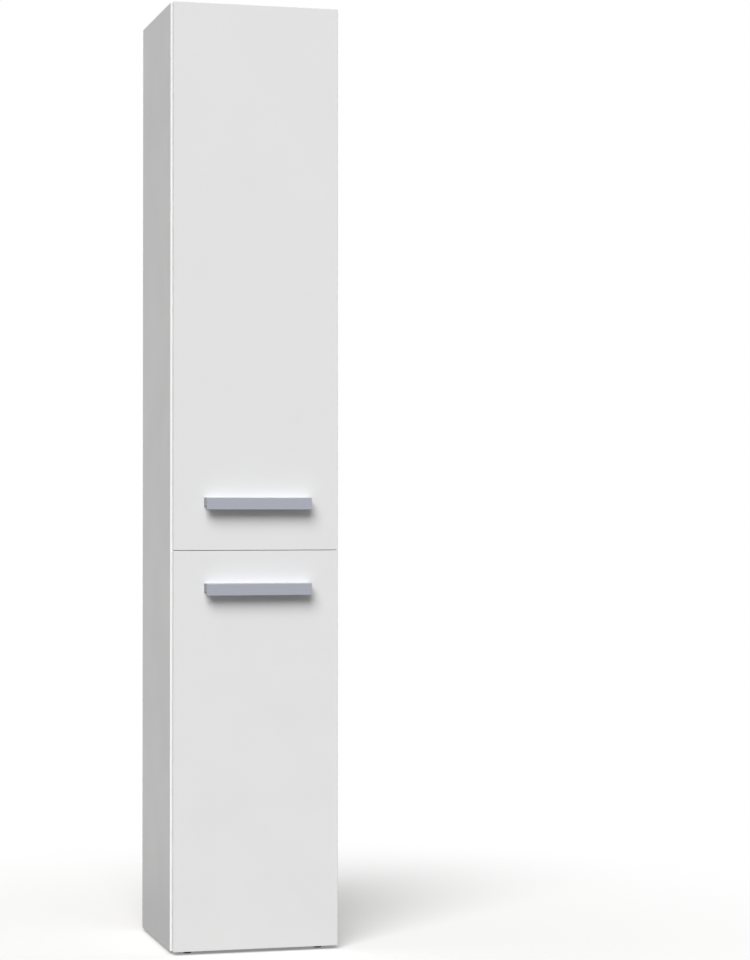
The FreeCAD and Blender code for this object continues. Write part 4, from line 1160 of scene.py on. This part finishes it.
cup = bmesh.new()
rings = [cup_ring(cup, lambda t, r=radius: r, height) for radius, height in (
    (HUB, BOWL_FLOOR - SHEET), (BOWL_OUT - BOWL_CUT_IN, BOWL_FLOOR - SHEET),
    (BOWL_OUT, BOWL_FLOOR - SHEET + BOWL_CUT_UP), (BOWL_OUT, MOUTH))]
rings += [cup_ring(cup, lambda t, i=inset: flange_reach(t) - i, height) for inset, height in (
    (0, MOUTH), (0, FLANGE_TOP - FLANGE_CUT), (FLANGE_CUT, FLANGE_TOP))]
rings += [cup_ring(cup, lambda t, r=radius: wall_reach(t, r), height) for radius, height in (
    (BOWL_IN + LIP_CUT, FLANGE_TOP), (BOWL_IN, FLANGE_TOP - LIP_CUT),
    (BOWL_IN, BOWL_FLOOR + FILLET))]
rings += [cup_ring(cup, lambda t, r=radius: r, BOWL_FLOOR) for radius in (BOWL_IN - FILLET, HUB)]
skin(cup, rings)
for end in (rings[0], rings[-1]):
    cup.faces.new(end)
cup_model = mesh_from(cup)
print("cup model:", len(cup_model.polygons), "faces")

# %% [markdown]
# The arm is a channel, open towards its plate, with a narrow strip bent down to the pin's eye.
# Channel, strip and eye are three pushed outlines that overlap a little and read as one sheet.

# %% Model of a hinge arm
ARM_LOW, ARM_HIGH, ARM_HALF, ARM_SKIN = 17.0, 21.0, 7.0, 1.5
ARM_FRONT, ARM_BACK, ARM_EDGE = -11.75, 60.0, 0.3
LEG_ROUND, BACK_ROUND, GROOVE_ROUND = 0.5, 1.6, 0.4
PIN_IN, PIN_DEEP, EYE, EYE_SIDES = 6.0, -10.5, 2.2, 24
NOSE_HALF, NOSE_THICK, NOSE_EDGE = 3.5, 2.5, 0.25
NOSE_ROUND, NOSE_BEND, NOSE_SUNK = 0.3, 1.2, 1.0
SHEET_STEPS = 4   # points in a corner's arc


def in_mm(corners, steps=SHEET_STEPS):
    """A rounded outline from corners in millimetres."""
    return rounded_outline([(a * MM, b * MM, r * MM) for a, b, r in corners], steps)


arm = bmesh.new()
inner_half, roof = ARM_HALF - ARM_SKIN, ARM_HIGH - ARM_SKIN
channel = in_mm([(-ARM_HALF, ARM_LOW, LEG_ROUND), (-ARM_HALF, ARM_HIGH, BACK_ROUND),
                 (ARM_HALF, ARM_HIGH, BACK_ROUND), (ARM_HALF, ARM_LOW, LEG_ROUND),
                 (inner_half, ARM_LOW, LEG_ROUND), (inner_half, roof, GROOVE_ROUND),
                 (-inner_half, roof, GROOVE_ROUND), (-inner_half, ARM_LOW, LEG_ROUND)])
prism(arm, channel, lambda u, v, w: (u, v, w), ARM_FRONT * MM, ARM_BACK * MM, ARM_EDGE * MM)
nose_low, nose_high = PIN_DEEP - NOSE_THICK / 2, PIN_DEEP + NOSE_THICK / 2
nose_end = ARM_HIGH - NOSE_SUNK
strip = in_mm([(PIN_IN, nose_low, NOSE_ROUND), (nose_end, nose_low, NOSE_BEND),
               (nose_end, nose_high, NOSE_ROUND), (PIN_IN, nose_high, NOSE_ROUND)])
eye = [Vector((PIN_IN + a, PIN_DEEP + b)) * MM for a, b in circle(EYE, EYE_SIDES)]
for outline in (strip, eye):
    prism(arm, outline, lambda v, w, u: (u, v, w), -NOSE_HALF * MM, NOSE_HALF * MM,
          NOSE_EDGE * MM)
arm_model = mesh_from(arm)
print("arm model:", len(arm_model.polygons), "faces")

# %% [markdown]
# The plate is a raised bed for the arm with two rounded wings for its screws. Door and flap
# overlap their boards differently, so the bed's height follows from where the board begins.

# %% Model of a hinge plate
BED_HALF, BED_BACK, BED_FRONT, BED_LEAN, BED_EDGE = 9.0, 62.0, 18.0, 2.0, 0.5
BED_FOOT_ROUND, BED_SIDE_ROUND, BED_TOP_ROUND = 0.2, 0.7, 0.6
WING_HALF, WING_THICK, WING_FROM, WING_TO, WING_EDGE = 23.0, 2.0, 29.0, 45.0, 0.4
WING_ROUND, WING_STEPS = 7.5, 10


def plate_model(seat):
    """The winged plate on a board whose face lies so many mm inside the leaf's edge."""
    plate = bmesh.new()
    waist, top_half = (seat + ARM_LOW) / 2, BED_HALF - BED_LEAN
    bed = in_mm([(-BED_HALF, seat, BED_FOOT_ROUND), (-BED_HALF, waist, BED_SIDE_ROUND),
                 (-top_half, ARM_LOW, BED_TOP_ROUND), (top_half, ARM_LOW, BED_TOP_ROUND),
                 (BED_HALF, waist, BED_SIDE_ROUND), (BED_HALF, seat, BED_FOOT_ROUND)])
    prism(plate, bed, lambda u, v, w: (u, v, w), BED_FRONT * MM, BED_BACK * MM, BED_EDGE * MM)
    wings = in_mm([(-WING_HALF, WING_FROM, WING_ROUND), (-WING_HALF, WING_TO, WING_ROUND),
                   (WING_HALF, WING_TO, WING_ROUND), (WING_HALF, WING_FROM, WING_ROUND)],
                  WING_STEPS)
    prism(plate, wings, lambda u, w, v: (u, v, w), seat * MM, (seat + WING_THICK) * MM,
          WING_EDGE * MM)
    return mesh_from(plate)


leaf_edge, flap_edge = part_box("door_panel")[1].x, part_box("flap_panel")[0].z
seats = {"door": (leaf_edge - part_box("side_panel_right")[0].x) / MM,
         "flap": (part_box("bottom_panel")[1].z - flap_edge) / MM}
print("plates sit inside the leaf's edge by", {k: round(v, 2) for k, v in seats.items()}, "mm")

# %% [markdown]
# Each hinge is set at the leaf's edge, in the plane of the carcass front, beside its CAD cup.
# Cups ride on the leaf, arms and plates on the carcass. A hinge isn't turned at random.

# %% Hinges
front_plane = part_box("side_panel_right")[0].y

for leaf, seat in seats.items():
    middles = [(low + high) / 2 for low, high in solids_of(leaf + "_hinge_cups")]
    if leaf == "door":
        spots = [((leaf_edge, front_plane, m.z), BACKWARD, DOWN) for m in middles]
    else:
        spots = [((m.x, front_plane, flap_edge), BACKWARD, LEFTWARD) for m in middles]
    for part, model_mesh, body in (("cups", cup_model, leaf), ("arms", arm_model, "carcass"),
                                   ("plates", plate_model(seat), "carcass")):
        set_on_points(f"{leaf}_hinge_{part}", model_mesh, spots, "nickel", body, turn=0.0)
    print(leaf, "hinges:", len(spots))
